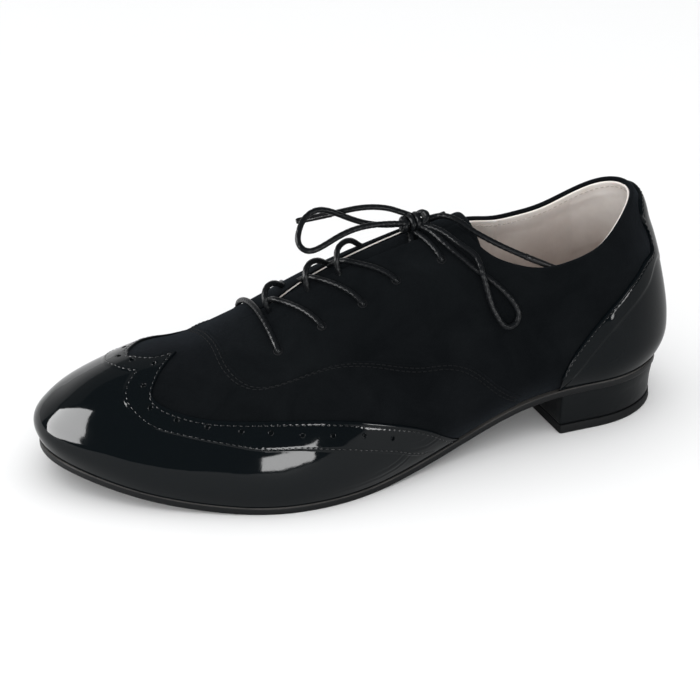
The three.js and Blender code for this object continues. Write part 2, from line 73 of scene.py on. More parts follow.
view_back = Vector((
    math.sin(view_azimuth) * math.cos(view_elevation),
    -math.cos(view_azimuth) * math.cos(view_elevation),
    math.sin(view_elevation),
))
camera_data = bpy.data.cameras.new("camera")
camera_data.sensor_width = sensor_width
camera_data.lens = sensor_width * focal_pixels / image_pixels
camera = bpy.data.objects.new("camera", camera_data)
camera.location = (view_target + view_back * view_distance) * mm
camera.rotation_mode = "QUATERNION"
camera.rotation_quaternion = (-view_back).to_track_quat("-Z", "Y")
bpy.context.scene.collection.objects.link(camera)
bpy.context.scene.camera = camera


# The last is the form that the whole shoe is built over. Ribs fan out at the heel and the toe
# and stand side by side between them, each from its foot on the outline to its head on the ridge.
last_length = 280
ball_width = 100
instep_height = 92
toe_spring = 13
toe_swing = 15
toe_round = 92
heel_round = 43
toe_fan = 40
heel_fan = 42
feather_tuck = 10
tuck_height = 14
heel_back = 30
heel_height = 19
sole_thickness = 3
seat_end = 0.16
tread_start = 0.6
tread_end = 0.7
swing_start = 0.62
swing_span = 0.5
outline_power = 2.15
tuck_power = 2.2
spring_power = 2.2
fan_reach = 2.6

section_columns = "at outer inner ridge square tuck_outer tuck_inner".split()
section_rows = [
    (0.0, 0.34, 0.34, 1.0, 1.85, 0.55, 0.55),
    (0.1, 0.345, 0.345, 0.985, 1.85, 0.55, 0.55),
    (0.2, 0.352, 0.337, 0.93, 1.95, 0.55, 0.75),
    (0.3, 0.368, 0.312, 0.87, 2.05, 0.6, 1.15),
    (0.4, 0.405, 0.31, 0.865, 2.05, 0.55, 1.25),
    (0.5, 0.465, 0.35, 0.85, 2.0, 0.5, 1.05),
    (0.6, 0.53, 0.425, 0.77, 1.98, 0.4, 0.7),
    (0.7, 0.525, 0.49, 0.63, 2.0, 0.35, 0.4),
    (0.8, 0.475, 0.508, 0.53, 2.1, 0.35, 0.35),
    (0.9, 0.44, 0.497, 0.42, 2.2, 0.35, 0.35),
    (1.0, 0.395, 0.48, 0.34, 2.3, 0.35, 0.35),
]


def spline(knots, values):
    knots = np.array(knots, float)
    values = np.array(values, float)
    steps = np.diff(knots)
    slopes = np.diff(values) / steps
    system = np.eye(len(knots))
    change = np.zeros(len(knots))
    for i in range(1, len(knots) - 1):
        system[i, i - 1:i + 2] = steps[i - 1], 2 * (steps[i - 1] + steps[i]), steps[i]
        change[i] = 6 * (slopes[i] - slopes[i - 1])
    bend = np.linalg.solve(system, change)

    def value(at):
        at = np.clip(at, knots[0], knots[-1])
        i = np.clip(np.searchsorted(knots, at, side="right") - 1, 0, len(steps) - 1)
        b = (at - knots[i]) / steps[i]
        a = 1 - b
        curve = ((a ** 3 - a) * bend[i] + (b ** 3 - b) * bend[i + 1]) * steps[i] ** 2 / 6
        return a * values[i] + b * values[i + 1] + curve

    return value


section_table = np.array(section_rows)
section = {
    name: spline(section_table[:, 0], section_table[:, column])
    for column, name in enumerate(section_columns)
}


def mix(a, b, share):
    return a + (b - a) * share


def ease(value):
    t = np.clip(value, 0, 1)
    return t ** 3 * (10 - 15 * t + 6 * t * t)


def station(x):
    return np.clip((x + heel_back) / last_length, 0, 1)


def sole_underside(x):
    at = station(x)
    drop = 1 - ease((at - seat_end) / (tread_start - seat_end))
    lift = np.clip((at - tread_end) / (1 - tread_end), 0, 1) ** spring_power
    return heel_height * drop + toe_spring * lift


def feather_height(x):
    return sole_underside(x) + sole_thickness


def middle(x):
    return -toe_swing * ease((x / last_length - swing_start) / swing_span)


def half_width(side, at):
    width = np.where(side > 0, section["outer"](at), section["inner"](at)) * ball_width
    heel = np.clip(1 - at * last_length / heel_round, 0, 1) ** outline_power
    toe = np.clip(1 - (1 - at) * last_length / toe_round, 0, 1) ** outline_power
    return width * ((1 - heel) * (1 - toe)) ** (1 / outline_power)


def ridge_x(x):
    toe = np.clip(1 - (last_length - x) / (fan_reach * toe_fan), 0, 1)
    heel = np.clip(1 - x / (fan_reach * heel_fan), 0, 1)
    return x - toe_fan * toe * toe + heel_fan * heel * heel


def rib(side, along):
    at = (1 - np.cos(np.pi * along)) / 2
    x = at * last_length
    head_x = ridge_x(x)
    return at, x, middle(x) + side * half_width(side, at), head_x, middle(head_x)


def bell(distance, width):
    return np.exp(-(distance / width) ** 2)


# Wear has left soft hollows and swells on top: the flex behind the toe cap, the toe's inner slope and
# the inner facing that stands up. Each is a rise, then its centre and width along and across.
worn_places = [(-2.6, 184, 9.5, -18, 18), (-2.5, 236, 23, -20, 14), (2.3, 102, 40, -9, 11)]
back_swell = -0.7
back_tuck = 2.2
top_flare = 2.2
toe_tuck = 1.8
toe_back = 1.9


# The back is drawn in over the heel and flares at the top line, and the toe is drawn in at its edge
def worn_form(x, y, height):
    raised = 0
    for rise, along, length, across, width in worn_places:
        raised = raised + rise * bell(x - along, length) * bell(y - across, width)
    raised = raised * ease((height - 8) / 22)
    back = back_swell * bell(height - 38, 20) + top_flare * ease((height - 58) / 16)
    back = (back - back_tuck * bell(height, 14)) * ease((18 - x) / 40)
    toe = toe_tuck * bell(height, 9) * ease((x - 205) / 42)
    toe = toe + toe_back * ease((height - 5) / 14) * ease((x - 222) / 24)
    return x - back - toe, height + raised


def bare_point(side, along, up):
    side, along, up = np.broadcast_arrays(np.asarray(side, float), along, up)
    beyond_end = (along < 0) | (along > 1)
    beyond_ridge = up > 1
    side = np.where(beyond_end ^ beyond_ridge, -side, side)
    along = np.where(along > 1, 2 - along, np.abs(along))
    up = np.where(beyond_ridge, 2 - up, up)
    at, foot_x, foot_y, head_x, head_y = rib(side, along)
    reach = np.hypot(foot_x - head_x, foot_y - head_y)
    out_x = (foot_x - head_x) / reach
    out_y = (foot_y - head_y) / reach
    power = 2 / section["square"](head_x / last_length)
    angle = up * np.pi / 2
    spread = reach * np.maximum(np.cos(angle), 0) ** power
    rise = np.sign(up) * np.abs(np.sin(angle)) ** power
    x = head_x + out_x * spread - heel_back
    height = rise * section["ridge"](station(x)) * instep_height
    tuck = np.where(side > 0, section["tuck_outer"](at), section["tuck_inner"](at)) * feather_tuck
    inward = tuck * np.clip(1 - height / tuck_height, 0, 3) ** tuck_power
    x_in = x - out_x * inward
    y_in = head_y + out_y * (spread - inward)
    x_in, height = worn_form(x_in, y_in, height)
    return np.stack([x_in, y_in, feather_height(x) + height], axis=-1)


def unit(vectors):
    return vectors / np.maximum(np.linalg.norm(vectors, axis=-1, keepdims=True), 1e-12)


# The outward normal and the way up at a place on the last
def frame_at(side, along, up):
    step = 0.001
    ahead = bare_point(side, along + step, up) - bare_point(side, along - step, up)
    above = bare_point(side, along, up + step) - bare_point(side, along, up - step)
    normal = unit(np.cross(ahead, above)) * np.asarray(side, float)[..., None]
    return -normal, unit(above)


def offset_point(side, along, up, off):
    side, along, up, off = np.broadcast_arrays(np.asarray(side, float), along, up, off)
    return bare_point(side, along, up) + frame_at(side, along, up)[0] * off[..., None]


# Where a rising value passes zero, found by halving
def solve(rising, low, high):
    low = np.array(low, float)
    high = np.array(high, float)
    for _ in range(36):
        half = (low + high) / 2
        above = rising(half) > 0
        high = np.where(above, half, high)
        low = np.where(above, low, half)
    return (low + high) / 2


# Where a surface outside the last comes down to the sole, as a share of the way up
foot_tables = {}
foot_alongs = np.linspace(0, 1, 241)


def foot_share(side, along, off):
    if off <= 0:
        return np.zeros_like(along)
    if off not in foot_tables:
        tables = []
        for one_side in (1, -1):

            def over(up):
                point = offset_point(one_side, foot_alongs, up, off)
                return point[..., 2] - feather_height(point[..., 0])

            low = np.zeros_like(foot_alongs)
            tables.append(np.where(over(low) < 0, solve(over, low, low + 0.2), 0))
        foot_tables[off] = tables
    outer, inner = foot_tables[off]
    along = np.where(along > 1, 2 - along, np.abs(along))
    return np.where(side > 0, np.interp(along, foot_alongs, outer), np.interp(along, foot_alongs, inner))


# A point off the last by a layer's height, its share of the way up counted from the sole
def shoe_point(side, along, up, layer):
    side, along, up = np.broadcast_arrays(np.asarray(side, float), along, up)
    return offset_point(side, along, mix(foot_share(side, along, layer), 1, up), layer)


def along_at(at):
    return np.arccos(1 - 2 * np.asarray(at, float)) / np.pi


toe_head = last_length - toe_fan


def toe_share(x):
    return np.clip((x - toe_head) / toe_fan, 0, 1)


def pattern_centre(x):
    return np.where(x > toe_head, mix(middle(toe_head), middle(last_length), toe_share(x)), middle(x))


# Place on the last of a point of the flat pattern, x from the back and across from the middle line
def pattern_place(x, across):
    x, across = np.broadcast_arrays(np.asarray(x, float), across)
    side = np.where(across < 0, -1.0, 1.0)
    on_line = np.abs(across) < 1e-6
    y = pattern_centre(x) + across

    def turn(along):
        _, foot_x, foot_y, head_x, head_y = rib(side, along)
        around = side * ((foot_x - head_x) * (y - head_y) - (foot_y - head_y) * (x - head_x))
        return np.where(on_line, head_x - x, around)

    along = solve(turn, np.zeros_like(x), np.ones_like(x))
    _, foot_x, foot_y, head_x, head_y = rib(side, along)
    reach = np.hypot(foot_x - head_x, foot_y - head_y)
    up = np.clip(1 - np.hypot(x - head_x, y - head_y) / reach, 0, 1)
    up = np.where(on_line & (x > toe_head), 1 - toe_share(x), up)
    up = np.where(on_line & (x < heel_fan), x / heel_fan, up)
    return side, along, up


# Meshes are gathered from parts, each an array of points in millimetres and a list of faces
def join_parts(parts):
    points = []
    faces = []
    start = 0
    for part_points, part_faces in parts:
        part_points = np.asarray(part_points, float).reshape(-1, 3)
        points.append(part_points)
        faces.extend([[corner + start for corner in face] for face in part_faces])
        start += len(part_points)
    return np.concatenate(points), faces


def table_faces(table, turned=False):
    corners = [table[:-1, :-1], table[1:, :-1], table[1:, 1:], table[:-1, 1:]]
    if turned:
        corners.reverse()
    return np.stack(corners, axis=-1).reshape(-1, 4).tolist()


def grid_part(points, turned):
    rows, columns = points.shape[:2]
    return points.reshape(-1, 3), table_faces(np.arange(rows * columns).reshape(rows, columns), turned)


def make_piece(name, shape, material, node, weld=0.0, smooth_angle=50):
    points, faces = shape
    mesh = bpy.data.meshes.new(name)
    mesh.from_pydata((points * mm).tolist(), [], faces)
    if weld:
        welded = bmesh.new()
        welded.from_mesh(mesh)
        bmesh.ops.remove_doubles(welded, verts=welded.verts, dist=weld * mm)
        bmesh.ops.dissolve_degenerate(welded, edges=welded.edges, dist=1e-7)
        welded.to_mesh(mesh)
        welded.free()
    mesh.validate()
    mesh.shade_smooth()
    mesh.set_sharp_from_angle(angle=math.radians(smooth_angle))
    mesh.materials.append(material)
    piece = bpy.data.objects.new(name, mesh)
    bpy.context.scene.collection.objects.link(piece)
    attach(piece, "root")
    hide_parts(node)
    return piece


def add_node(tree, kind, **settings):
    node = tree.nodes.new(kind)
    for key, value in settings.items():
        if key in node.inputs:
            node.inputs[key].default_value = value
        else:
            setattr(node, key, value)
    return node


# Textures lie in the object's own coordinates, and a noise is given by scale, detail and roughness
def add_texture(tree, kind="Noise", **settings):
    texture = add_node(tree, "ShaderNodeTex" + kind, **settings)
    place = add_node(tree, "ShaderNodeTexCoord")
    tree.links.new(place.outputs["Object"], texture.inputs["Vector"])
    return texture.outputs["Fac" if kind == "Noise" else "Distance"]


# A finish is one glossy or matte surface with a relief, each row of it a strength, a depth in metres
# and a texture. A bump lies on the bump before it, and the last one turns the surface's normals.
def new_finish(name, colour, roughness, specular, relief=(), more=(), normals=("Normal",)):
    material = bpy.data.materials.new(name)
    material.use_nodes = True
    tree = material.node_tree
    surface = tree.nodes["Principled BSDF"]
    surface.inputs["Base Color"].default_value = (*colour, 1)
    surface.inputs["Roughness"].default_value = roughness
    surface.inputs["Specular IOR Level"].default_value = specular
    for socket, value in dict(more).items():
        surface.inputs[socket].default_value = value
    below = None
    for strength, depth, texture in relief:
        bump = add_node(tree, "ShaderNodeBump", Strength=strength, Distance=depth)
        tree.links.new(add_texture(tree, **texture), bump.inputs["Height"])
        if below:
            tree.links.new(below.outputs["Normal"], bump.inputs["Normal"])
        below = bump
    if below:
        for socket in normals:
            tree.links.new(below.outputs["Normal"], surface.inputs[socket])
    return material


# A slow change of tone between two colours, each at its place on the texture's scale
def add_tone(material, low, high, **texture):
    tree = material.node_tree
    tone = add_node(tree, "ShaderNodeValToRGB")
    for element, (place, colour) in zip(tone.color_ramp.elements, (low, high)):
        element.position = place
        element.color = (*colour, 1)
    tree.links.new(add_texture(tree, **texture), tone.inputs["Fac"])
    tree.links.new(tone.outputs["Color"], tree.nodes["Principled BSDF"].inputs["Base Color"])
    return tone


# The lining and the sock over the insole are off-white leather, smooth and a little soft. The lining
# shows inside the collar, as a thin bright edge round the top line and along the facings.
seat_height = heel_height + sole_thickness
back_height = 75
collar_rows = [
    (0.0, 1.018), (0.045, 1.018), (0.09, 0.945), (0.15, 0.793), (0.205, 0.731),
    (0.25, 0.72), (0.3, 0.767), (0.34, 0.86), (0.36, 0.96), (0.38, 1.093),
]
facing_opening = 8
facing_rows = [(0.36, 1.0), (0.45, 0.85), (0.55, 0.7), (0.6, 0.5), (0.64, 0.22), (0.69, 0.0)]
throat = 0.69
collar_height = spline(*zip(*collar_rows))
inner_lift_rows = [
    (0.0, 0.0), (0.09, 0.0), (0.14, 0.01), (0.18, 0.024), (0.218, 0.04), (0.25, 0.05), (0.28, 0.056),
    (0.305, 0.045), (0.33, 0.018), (0.36, 0.0), (1.0, 0.0),
]
inner_lift = spline(*zip(*inner_lift_rows))
facing_open = spline(*zip(*facing_rows))


def top_limit(side, along):
    at, foot_x, foot_y, head_x, head_y = rib(side, along)

    def over(up):
        point = bare_point(side, along, up)
        share = station(point[..., 0])
        height = collar_height(share) + (inner_lift(share) if side < 0 else 0)
        return point[..., 2] - seat_height - back_height * height

    one = np.ones_like(along)
    top_line = np.where(over(one) > 0, solve(over, 0 * one, one), 1)
    half = np.maximum(facing_open(at), 0) * facing_opening / 2
    facing = 1 - half / np.hypot(foot_x - head_x, foot_y - head_y)
    return np.where(at < throat, np.minimum(top_line, facing), 1)


# At the collar the suede rolls over a thick edge and along the facings over a thin one. Both edges
# run out at the throat.
collar_roll = 1.2
facing_roll = 0.55
quarter_layer = 1.7
facing_start = 0.352
facing_blend = 0.03
run_out_end = throat + 0.01
run_out = 0.05


def edge_blend(along):
    at = rib(1, along)[0]
    return ease((at - facing_start) / facing_blend), np.clip((run_out_end - at) / run_out, 0, 1)


# Columns from the back to a place on the shoe, close together where the collar meets the facing
def upper_columns(end, at_back, at_corner, in_front):
    corner_start = along_at(0.3)
    corner_end = along_at(0.38)
    return np.concatenate([
        np.linspace(0, corner_start, at_back)[:-1],
        np.linspace(corner_start, corner_end, at_corner)[:-1],
        np.linspace(corner_end, end, in_front),
    ])


def rows_to_foot(count):
    return (np.arange(count + 1) / count) ** 1.5


# The edge goes over from the top row in a half turn and a short way down on the other side
def roll_over(points, top, normal, above, around, rise, down):
    normal = normal[:, None]
    above = above[:, None]
    rim = top[:, None] + normal * around[..., None] + above * rise[..., None]
    end = rim[:, -1:] - above * down[:, None, None]
    return np.concatenate([points, rim[:, 1:], end], axis=1)


lining_leather = new_finish(
    "lining_leather", (0.76, 0.72, 0.68), 0.6, 0.08,
    relief=[
        (0.2, 0.0002, {"kind": "Voronoi", "Scale": 1500}),
        (0.25, 0.0008, {"Scale": 120, "Detail": 5, "Roughness": 0.6}),
    ],
    more={"Subsurface Weight": 0.06, "Subsurface Radius": (0.002, 0.0012, 0.0008)},
)
tone = add_tone(
    lining_leather, (0.4, (0.76, 0.705, 0.665)), (0.62, (0.93, 0.89, 0.855)),
    Scale=28, Detail=4, Roughness=0.55,
)
# Painted shade: the lining and the sock are painted darker low down, where shade falls deep inside the
# shoe
tree = lining_leather.node_tree
place = add_node(tree, "ShaderNodeTexCoord")
height = add_node(tree, "ShaderNodeSeparateXYZ")
shade_below = add_node(
    tree, "ShaderNodeMapRange", **{"From Min": 0.05, "From Max": 0.092, "To Min": 1.0, "To Max": 0.0}
)
painted_shade = add_node(tree, "ShaderNodeMix", data_type="RGBA", blend_type="MULTIPLY")
painted_shade.inputs["B"].default_value = (0.64, 0.6, 0.58, 1)
tree.links.new(place.outputs["Object"], height.inputs["Vector"])
tree.links.new(height.outputs["Z"], shade_below.inputs["Value"])
tree.links.new(shade_below.outputs["Result"], painted_shade.inputs["Factor"])
tree.links.new(tone.outputs["Color"], painted_shade.inputs["A"])
tree.links.new(painted_shade.outputs["Result"], tree.nodes["Principled BSDF"].inputs["Base Color"])


def line_run(line):
    steps = np.linalg.norm(np.diff(line, axis=-2), axis=-1)
    return np.concatenate([np.zeros_like(steps[..., :1]), np.cumsum(steps, axis=-1)], axis=-1)


def points_at(distance, run, line):
    return np.stack([np.interp(distance, run, column) for column in line.T], axis=-1)


# A row over a grid, at one distance or each column's own distance from its edge
def row_on(grid, distance):
    distances = np.broadcast_to(distance, len(grid["points"]))
    rows = [
        np.array([points_at(*column) for column in zip(distances, grid["run"], grid[layer])])
        for layer in ("points", "normals")
    ]
    return rows[0], unit(rows[1])


# Faces round a stack of closed rings, and a flat face on each end unless it stays open
def ring_faces(rings, count, turned=False, ends=True):
    table = np.arange(rings * count).reshape(rings, count)
    closed = np.pad(table, ((0, 0), (0, 1)), mode="wrap")
    faces = table_faces(closed if turned else closed.T)
    if ends:
        first, last = table[0].tolist(), table[-1].tolist()
        faces += [first, last[::-1]] if turned else [first[::-1], last]
    return faces


# Sewing thread lies in short stitches between its needle holes, each a bead with drawn-down ends
stitch_pitch = 2.55
stitch_dip = 0.18


def stitches(line, normals, length=1.9, width=0.5, height=0.42, sink=0.05):
    run = line_run(line)
    centres = np.arange(stitch_pitch / 2, run[-1] - stitch_pitch / 2, stitch_pitch)
    places = points_at(centres, run, line)
    upright = unit(points_at(centres, run, normals))
    ahead = points_at(centres + 0.4, run, line) - places
    ahead = unit(ahead - upright * np.sum(ahead * upright, axis=-1, keepdims=True))
    sideways = np.cross(upright, ahead)
    places = places + upright * (height / 2 - sink)
    rings, sides = 7, 8
    end = np.linspace(-1, 1, rings)[:, None]
    angle = 2 * np.pi * np.arange(sides) / sides
    swell = np.sqrt(np.maximum(1 - np.abs(end) ** 2.5, 0.02))
    bead = np.stack(np.broadcast_arrays(
        length / 2 * np.sin(end * np.pi / 2),
        width / 2 * swell * np.cos(angle),
        height / 2 * swell * np.sin(angle) - stitch_dip * end ** 2,
    ), axis=-1)
    frames = np.stack([ahead, sideways, upright], axis=1)
    faces = ring_faces(rings, sides, turned=True)
    return join_parts([(place + bead @ frame, faces) for place, frame in zip(places, frames)])


# The lining folds over just inside the suede's edge. It has a seam down the inner side, a heel grip
# at the back and a row of stitches under its rim.
collar_fold = 0.5
facing_fold = 0.3
fold_stand = {1: 0.6, -1: 0.3}
seam_at = 0.236
grip_end = 0.088
grip_top = 4.4
grip_foot = 34
grip_thick = 0.6
hug_depth = 14
stand_depth = 3
lining_row = 2.4
lining_row_end = 0.34

alongs = upper_columns(1, 150, 50, 70)
at = rib(1, alongs)[0]
facing, closing = edge_blend(alongs)
radius = mix(collar_fold, facing_fold, facing)
centre = mix(quarter_layer - 2 * collar_roll - collar_fold, facing_fold, facing)
curl = np.linspace(0, np.pi, 7)
off_seam = (at - seam_at) * last_length
lining_parts = []
lining_thread = []
for side in (1, -1):
    reach = mix(fold_stand[side], facing_roll - facing_fold, facing) * closing
    up = top_limit(side, alongs)[:, None] * rows_to_foot(64)
    wide = np.broadcast_to(alongs[:, None], up.shape)
    bare = bare_point(side, wide, up)
    normal, above = frame_at(side, wide, up)
    below = np.linalg.norm(bare - bare[:, -1:], axis=-1)
    inner = ((centre - radius) * closing)[:, None] * (1 - ease(below / hug_depth))
    lift = reach[:, None] * (1 - ease(below / stand_depth))
    seam = (0.75 * bell(off_seam, 0.5) - 0.25 * bell(off_seam - 1.5, 0.8))[:, None] * (side < 0)
    grip = grip_thick * (1 - ease((at - grip_end) / 0.005))[:, None]
    grip = grip * ease((below - grip_top) / 2.5) * (1 - ease((below - grip_foot) / 2))
    points = bare + normal * (inner + seam - grip)[..., None] + above * lift[..., None]
    sewn = points[at < lining_row_end][:, ::-1]
    grid = {"points": sewn, "normals": -normal[at < lining_row_end][:, ::-1], "run": line_run(sewn)}
    lining_thread.append(stitches(*row_on(grid, lining_row), length=1.7, width=0.45, height=0.35))
    around = (centre[:, None] - radius[:, None] * np.cos(curl)) * closing[:, None]
    rise = reach[:, None] + (radius * closing)[:, None] * np.sin(curl)
    down = np.minimum(2.5, 20 * closing)
    points = roll_over(points, bare[:, -1], normal[:, -1], above[:, -1], around, rise, down)
    lining_parts.append(grid_part(points, side > 0))
make_piece("lining", join_parts(lining_parts), lining_leather, "upper", weld=0.02)


def thread_finish(name, colour, roughness, specular, twist=0.5):
    ply = {"Scale": 2600, "Detail": 2}
    return new_finish(name, colour, roughness, specular, relief=[(twist, 0.0002, ply)])


thread_beige = thread_finish("thread_beige", (0.50, 0.455, 0.41), 0.6, 0.15, twist=0.4)
make_piece("lining_stitching", join_parts(lining_thread), thread_beige, "upper")


# The outline of the shoe's foot on its outer and inner side, so far off the last
def foot_outline(alongs, reach):
    return [shoe_point(side, alongs, 0.0, reach)[:, :2] for side in (1, -1)]


# The sock is a sheet of the lining's leather, glued down over the insole. It reaches from edge to edge
# and turns up a little there.
sock_height = 2.5
sock_turn_up = 1.2
outer, inner = foot_outline(np.linspace(0, 1, 150), 0.0)
share = np.linspace(0, 1, 31)
sock = mix(outer[:, None], inner[:, None], share[:, None])
sock_z = feather_height(sock[..., 0]) + sock_height + sock_turn_up * np.abs(2 * share - 1) ** 4
sock = grid_part(np.concatenate([sock, sock_z[..., None]], axis=-1), True)
make_piece("sock", sock, lining_leather, "insole", weld=0.02)


# The suede is black and closely napped. The two quarters meet under the strip at the back, roll over
# at the collar and the facings, and run forward under the vamp, which is stitched down over them.
suede_black = new_finish(
    "suede_black", (0.0042, 0.0049, 0.0055), 0.95, 0.0,
    relief=[
        (0.7, 0.0003, {"Scale": 1500, "Detail": 6, "Roughness": 0.8}),
        (0.3, 0.0005, {"Scale": 420, "Detail": 3, "Roughness": 0.6}),
    ],
    more={"Sheen Weight": 0.05, "Sheen Roughness": 0.45, "Sheen Tint": (0.75, 0.85, 1, 1)},
)
add_tone(
    suede_black, (0.3, (0.0032, 0.0038, 0.0043)), (0.72, (0.0056, 0.0065, 0.0072)),
    Scale=42, Detail=5, Roughness=0.6, Distortion=0.6,
)

alongs = upper_columns(along_at(0.77), 70, 50, 110)
facing, closing = edge_blend(alongs)
radius = (mix(collar_roll, facing_roll, facing) * closing)[:, None]
curl = np.linspace(0, np.pi, 10)
for side, name in ((1, "quarter_outer"), (-1, "quarter_inner")):
    limit = top_limit(side, alongs)
    up = limit[:, None] * rows_to_foot(56)
    points = shoe_point(side, np.broadcast_to(alongs[:, None], up.shape), up, quarter_layer)
    normal, above = frame_at(side, alongs, mix(foot_share(side, alongs, quarter_layer), 1, limit))
    around = radius * (np.cos(curl) - 1)
    down = np.minimum(3, 20 * closing)
    points = roll_over(points, points[:, -1], normal, above, around, radius * np.sin(curl), down)
    make_piece(
        name, grid_part(points, side < 0), suede_black, "upper", weld=0.005, smooth_angle=80
    )


# A piece cut along an edge curve on the pattern and lasted down to the sole. Its columns run from
# the edge to the sole, and each column's run is its distance from the edge.
def edge_curve(rows):
    rows = np.array(rows, float) * (last_length, ball_width)
    run = line_run(rows)
    x = spline(run / run[-1], rows[:, 0])
    across = spline(run / run[-1], rows[:, 1])
    return lambda share: (x(share), across(share))


def lasted_grid(side, lines, line_steps, start_along, layer, columns):
    curves = [edge_curve(line) for line in lines]
    end_x, end_across = curves[0](1.0)
    end_along = float(pattern_place(end_x, side * end_across)[1])
    fine = np.linspace(0, 1, 600)
    run = line_run(np.column_stack(curves[-1](fine)))
    shares = np.interp(np.linspace(0, run[-1], columns + 1), run, fine)
    alongs = mix(start_along, end_along, shares)
    _, foot_x, foot_y, _, _ = rib(side, alongs)
    foot_across = foot_y - pattern_centre(foot_x)
    foot_across[0] = 0
    stops = [(x, side * across) for x, across in (curve(shares) for curve in curves)]
    stops.append((foot_x, foot_across))
    xs = []
    acrosses = []
    for k, steps in enumerate(line_steps):
        for share in steps if k == len(line_steps) - 1 else steps[:-1]:
            xs.append(mix(stops[k][0], stops[k + 1][0], share))
            acrosses.append(mix(stops[k][1], stops[k + 1][1], share))
    place_side, along, up = pattern_place(np.stack(xs, axis=1), np.stack(acrosses, axis=1))
    place_side[:, -1] = side
    along[:, -1] = alongs
    up[:, -1] = 0
    points = shoe_point(place_side, along, up, layer)
    normals = frame_at(place_side, along, mix(foot_share(place_side, along, layer), 1, up))[0]
    return {"side": side, "points": points, "normals": normals, "run": line_run(points)}


thread_black = thread_finish("thread_black", (0.005, 0.0055, 0.006), 0.28, 0.45)
thread_dull = thread_finish("thread_dull", (0.0055, 0.0062, 0.007), 0.7, 0.06)

vamp_layer = 2.15
vamp_rows = (1.7, 3.4)
vamp_groove = 0.16
groove_width = 0.45
vamp_edge_outer = [
    (0.737, 0.0), (0.7355, 0.06), (0.735, 0.125), (0.728, 0.172), (0.71, 0.215), (0.67, 0.243),
    (0.6, 0.256), (0.53, 0.272), (0.465, 0.286), (0.42, 0.288), (0.376, 0.306), (0.335, 0.337),
    (0.30, 0.352),
]
vamp_edge_inner = [
    (0.737, 0.0), (0.737, 0.06), (0.735, 0.127), (0.718, 0.178), (0.675, 0.208), (0.60, 0.222),
    (0.53, 0.222), (0.465, 0.222), (0.42, 0.228), (0.376, 0.24), (0.335, 0.258), (0.30, 0.272),
]


# Steps from one share of the way down to the sole, closer together towards it
def closing_steps(start, count, power):
    return 1 - np.linspace((1 - start) ** (1 / power), 0, count) ** power


vamp_steps = np.concatenate([np.linspace(0, 0.12, 20)[:-1], closing_steps(0.12, 36, 1.4)])


def rounded_edge(run, radius, height):
    inward = np.clip(1 - run / radius, 0, 1)
    return -height * (1 - np.sqrt(1 - inward ** 2))


def groove(run, row, depth):
    return -depth * bell(run - row, groove_width)


vamp_parts = []
vamp_thread = []
for side, edge in ((1, vamp_edge_outer), (-1, vamp_edge_inner)):
    grid = lasted_grid(side, [edge], [vamp_steps], 1.0, vamp_layer, 240)
    relief = rounded_edge(grid["run"], 0.7, 0.6)
    for row in vamp_rows:
        relief = relief + groove(grid["run"], row, vamp_groove)
        vamp_thread.append(stitches(*row_on(grid, row), sink=0.2))
    vamp_parts.append(grid_part(grid["points"] + grid["normals"] * relief[..., None], side > 0))
make_piece("vamp", join_parts(vamp_parts), suede_black, "upper", weld=0.01, smooth_angle=80)
make_piece("vamp_stitching", join_parts(vamp_thread), thread_dull, "upper")


# The tongue is a soft strip of suede with its own lining. It lies under the facings with its rounded
# top at the collar, and its front end is sewn in under the vamp.
tongue_top = 0.335
tongue_front = 0.74
tongue_width = 34
tongue_top_width = 25.5
tongue_round = 0.05
tongue_outside = -0.5
tongue_inside = -2.4
tongue_edge = 1.4

length_shares = 0.5 - 0.5 * np.cos(np.linspace(0, np.pi, 71))
ats = mix(tongue_top, tongue_front, length_shares)
near_top = np.clip(1 - (ats - tongue_top) / tongue_round, 0, 1)
half = mix(tongue_width, tongue_top_width, near_top ** 2)[:, None] / 2
across = half * np.sin(np.linspace(-np.pi / 2, np.pi / 2, 41))
side = np.where(across < 0, -1.0, 1.0)
wide = np.broadcast_to(along_at(ats)[:, None], across.shape)
_, foot_x, foot_y, head_x, head_y = rib(side, wide)
up = 1 - np.abs(across) / np.hypot(foot_x - head_x, foot_y - head_y)
length = (tongue_front - tongue_top) * last_length
to_edge = np.minimum(half - np.abs(across), length_shares[:, None] * length)
fullness = np.sqrt(1 - (1 - np.clip(to_edge / tongue_edge, 0, 1)) ** 2)
half_thick = (tongue_outside - tongue_inside) / 2
centre = (tongue_outside + tongue_inside) / 2
tongue = join_parts([
    grid_part(offset_point(side, wide, up, centre + face * half_thick * fullness), face < 0)
    for face in (1, -1)
])
make_piece("tongue_suede", tongue, suede_black, "tongue", weld=0.02, smooth_angle=80)


# The wing cap is black patent leather, punched along a raised band and held by two rows of stitches.
# It is lasted over the vamp and runs back along both sides in long wings.
patent_layer = 3.0


def patent(name, gloss):
    return new_finish(
        name, (0.0024, 0.0036, 0.0044), 0.4, 0.0,
        relief=[
            (0.35, 0.0012, {"Scale": 26, "Detail": 2, "Roughness": 0.45}),
            (0.1, 0.0002, {"Scale": 210, "Detail": 2}),
        ],
        more={"Coat Weight": gloss, "Coat Roughness": 0.06, "Coat IOR": 1.28},
        normals=("Normal", "Coat Normal"),
    )


patent_black = patent("patent_black", 0.8)
# A copy of the patent with a thinner coat, whose dimmer reflections are painted shade for the darker
# surroundings behind the shoe
patent_shaded_back = patent("patent_shaded_back", 0.5)

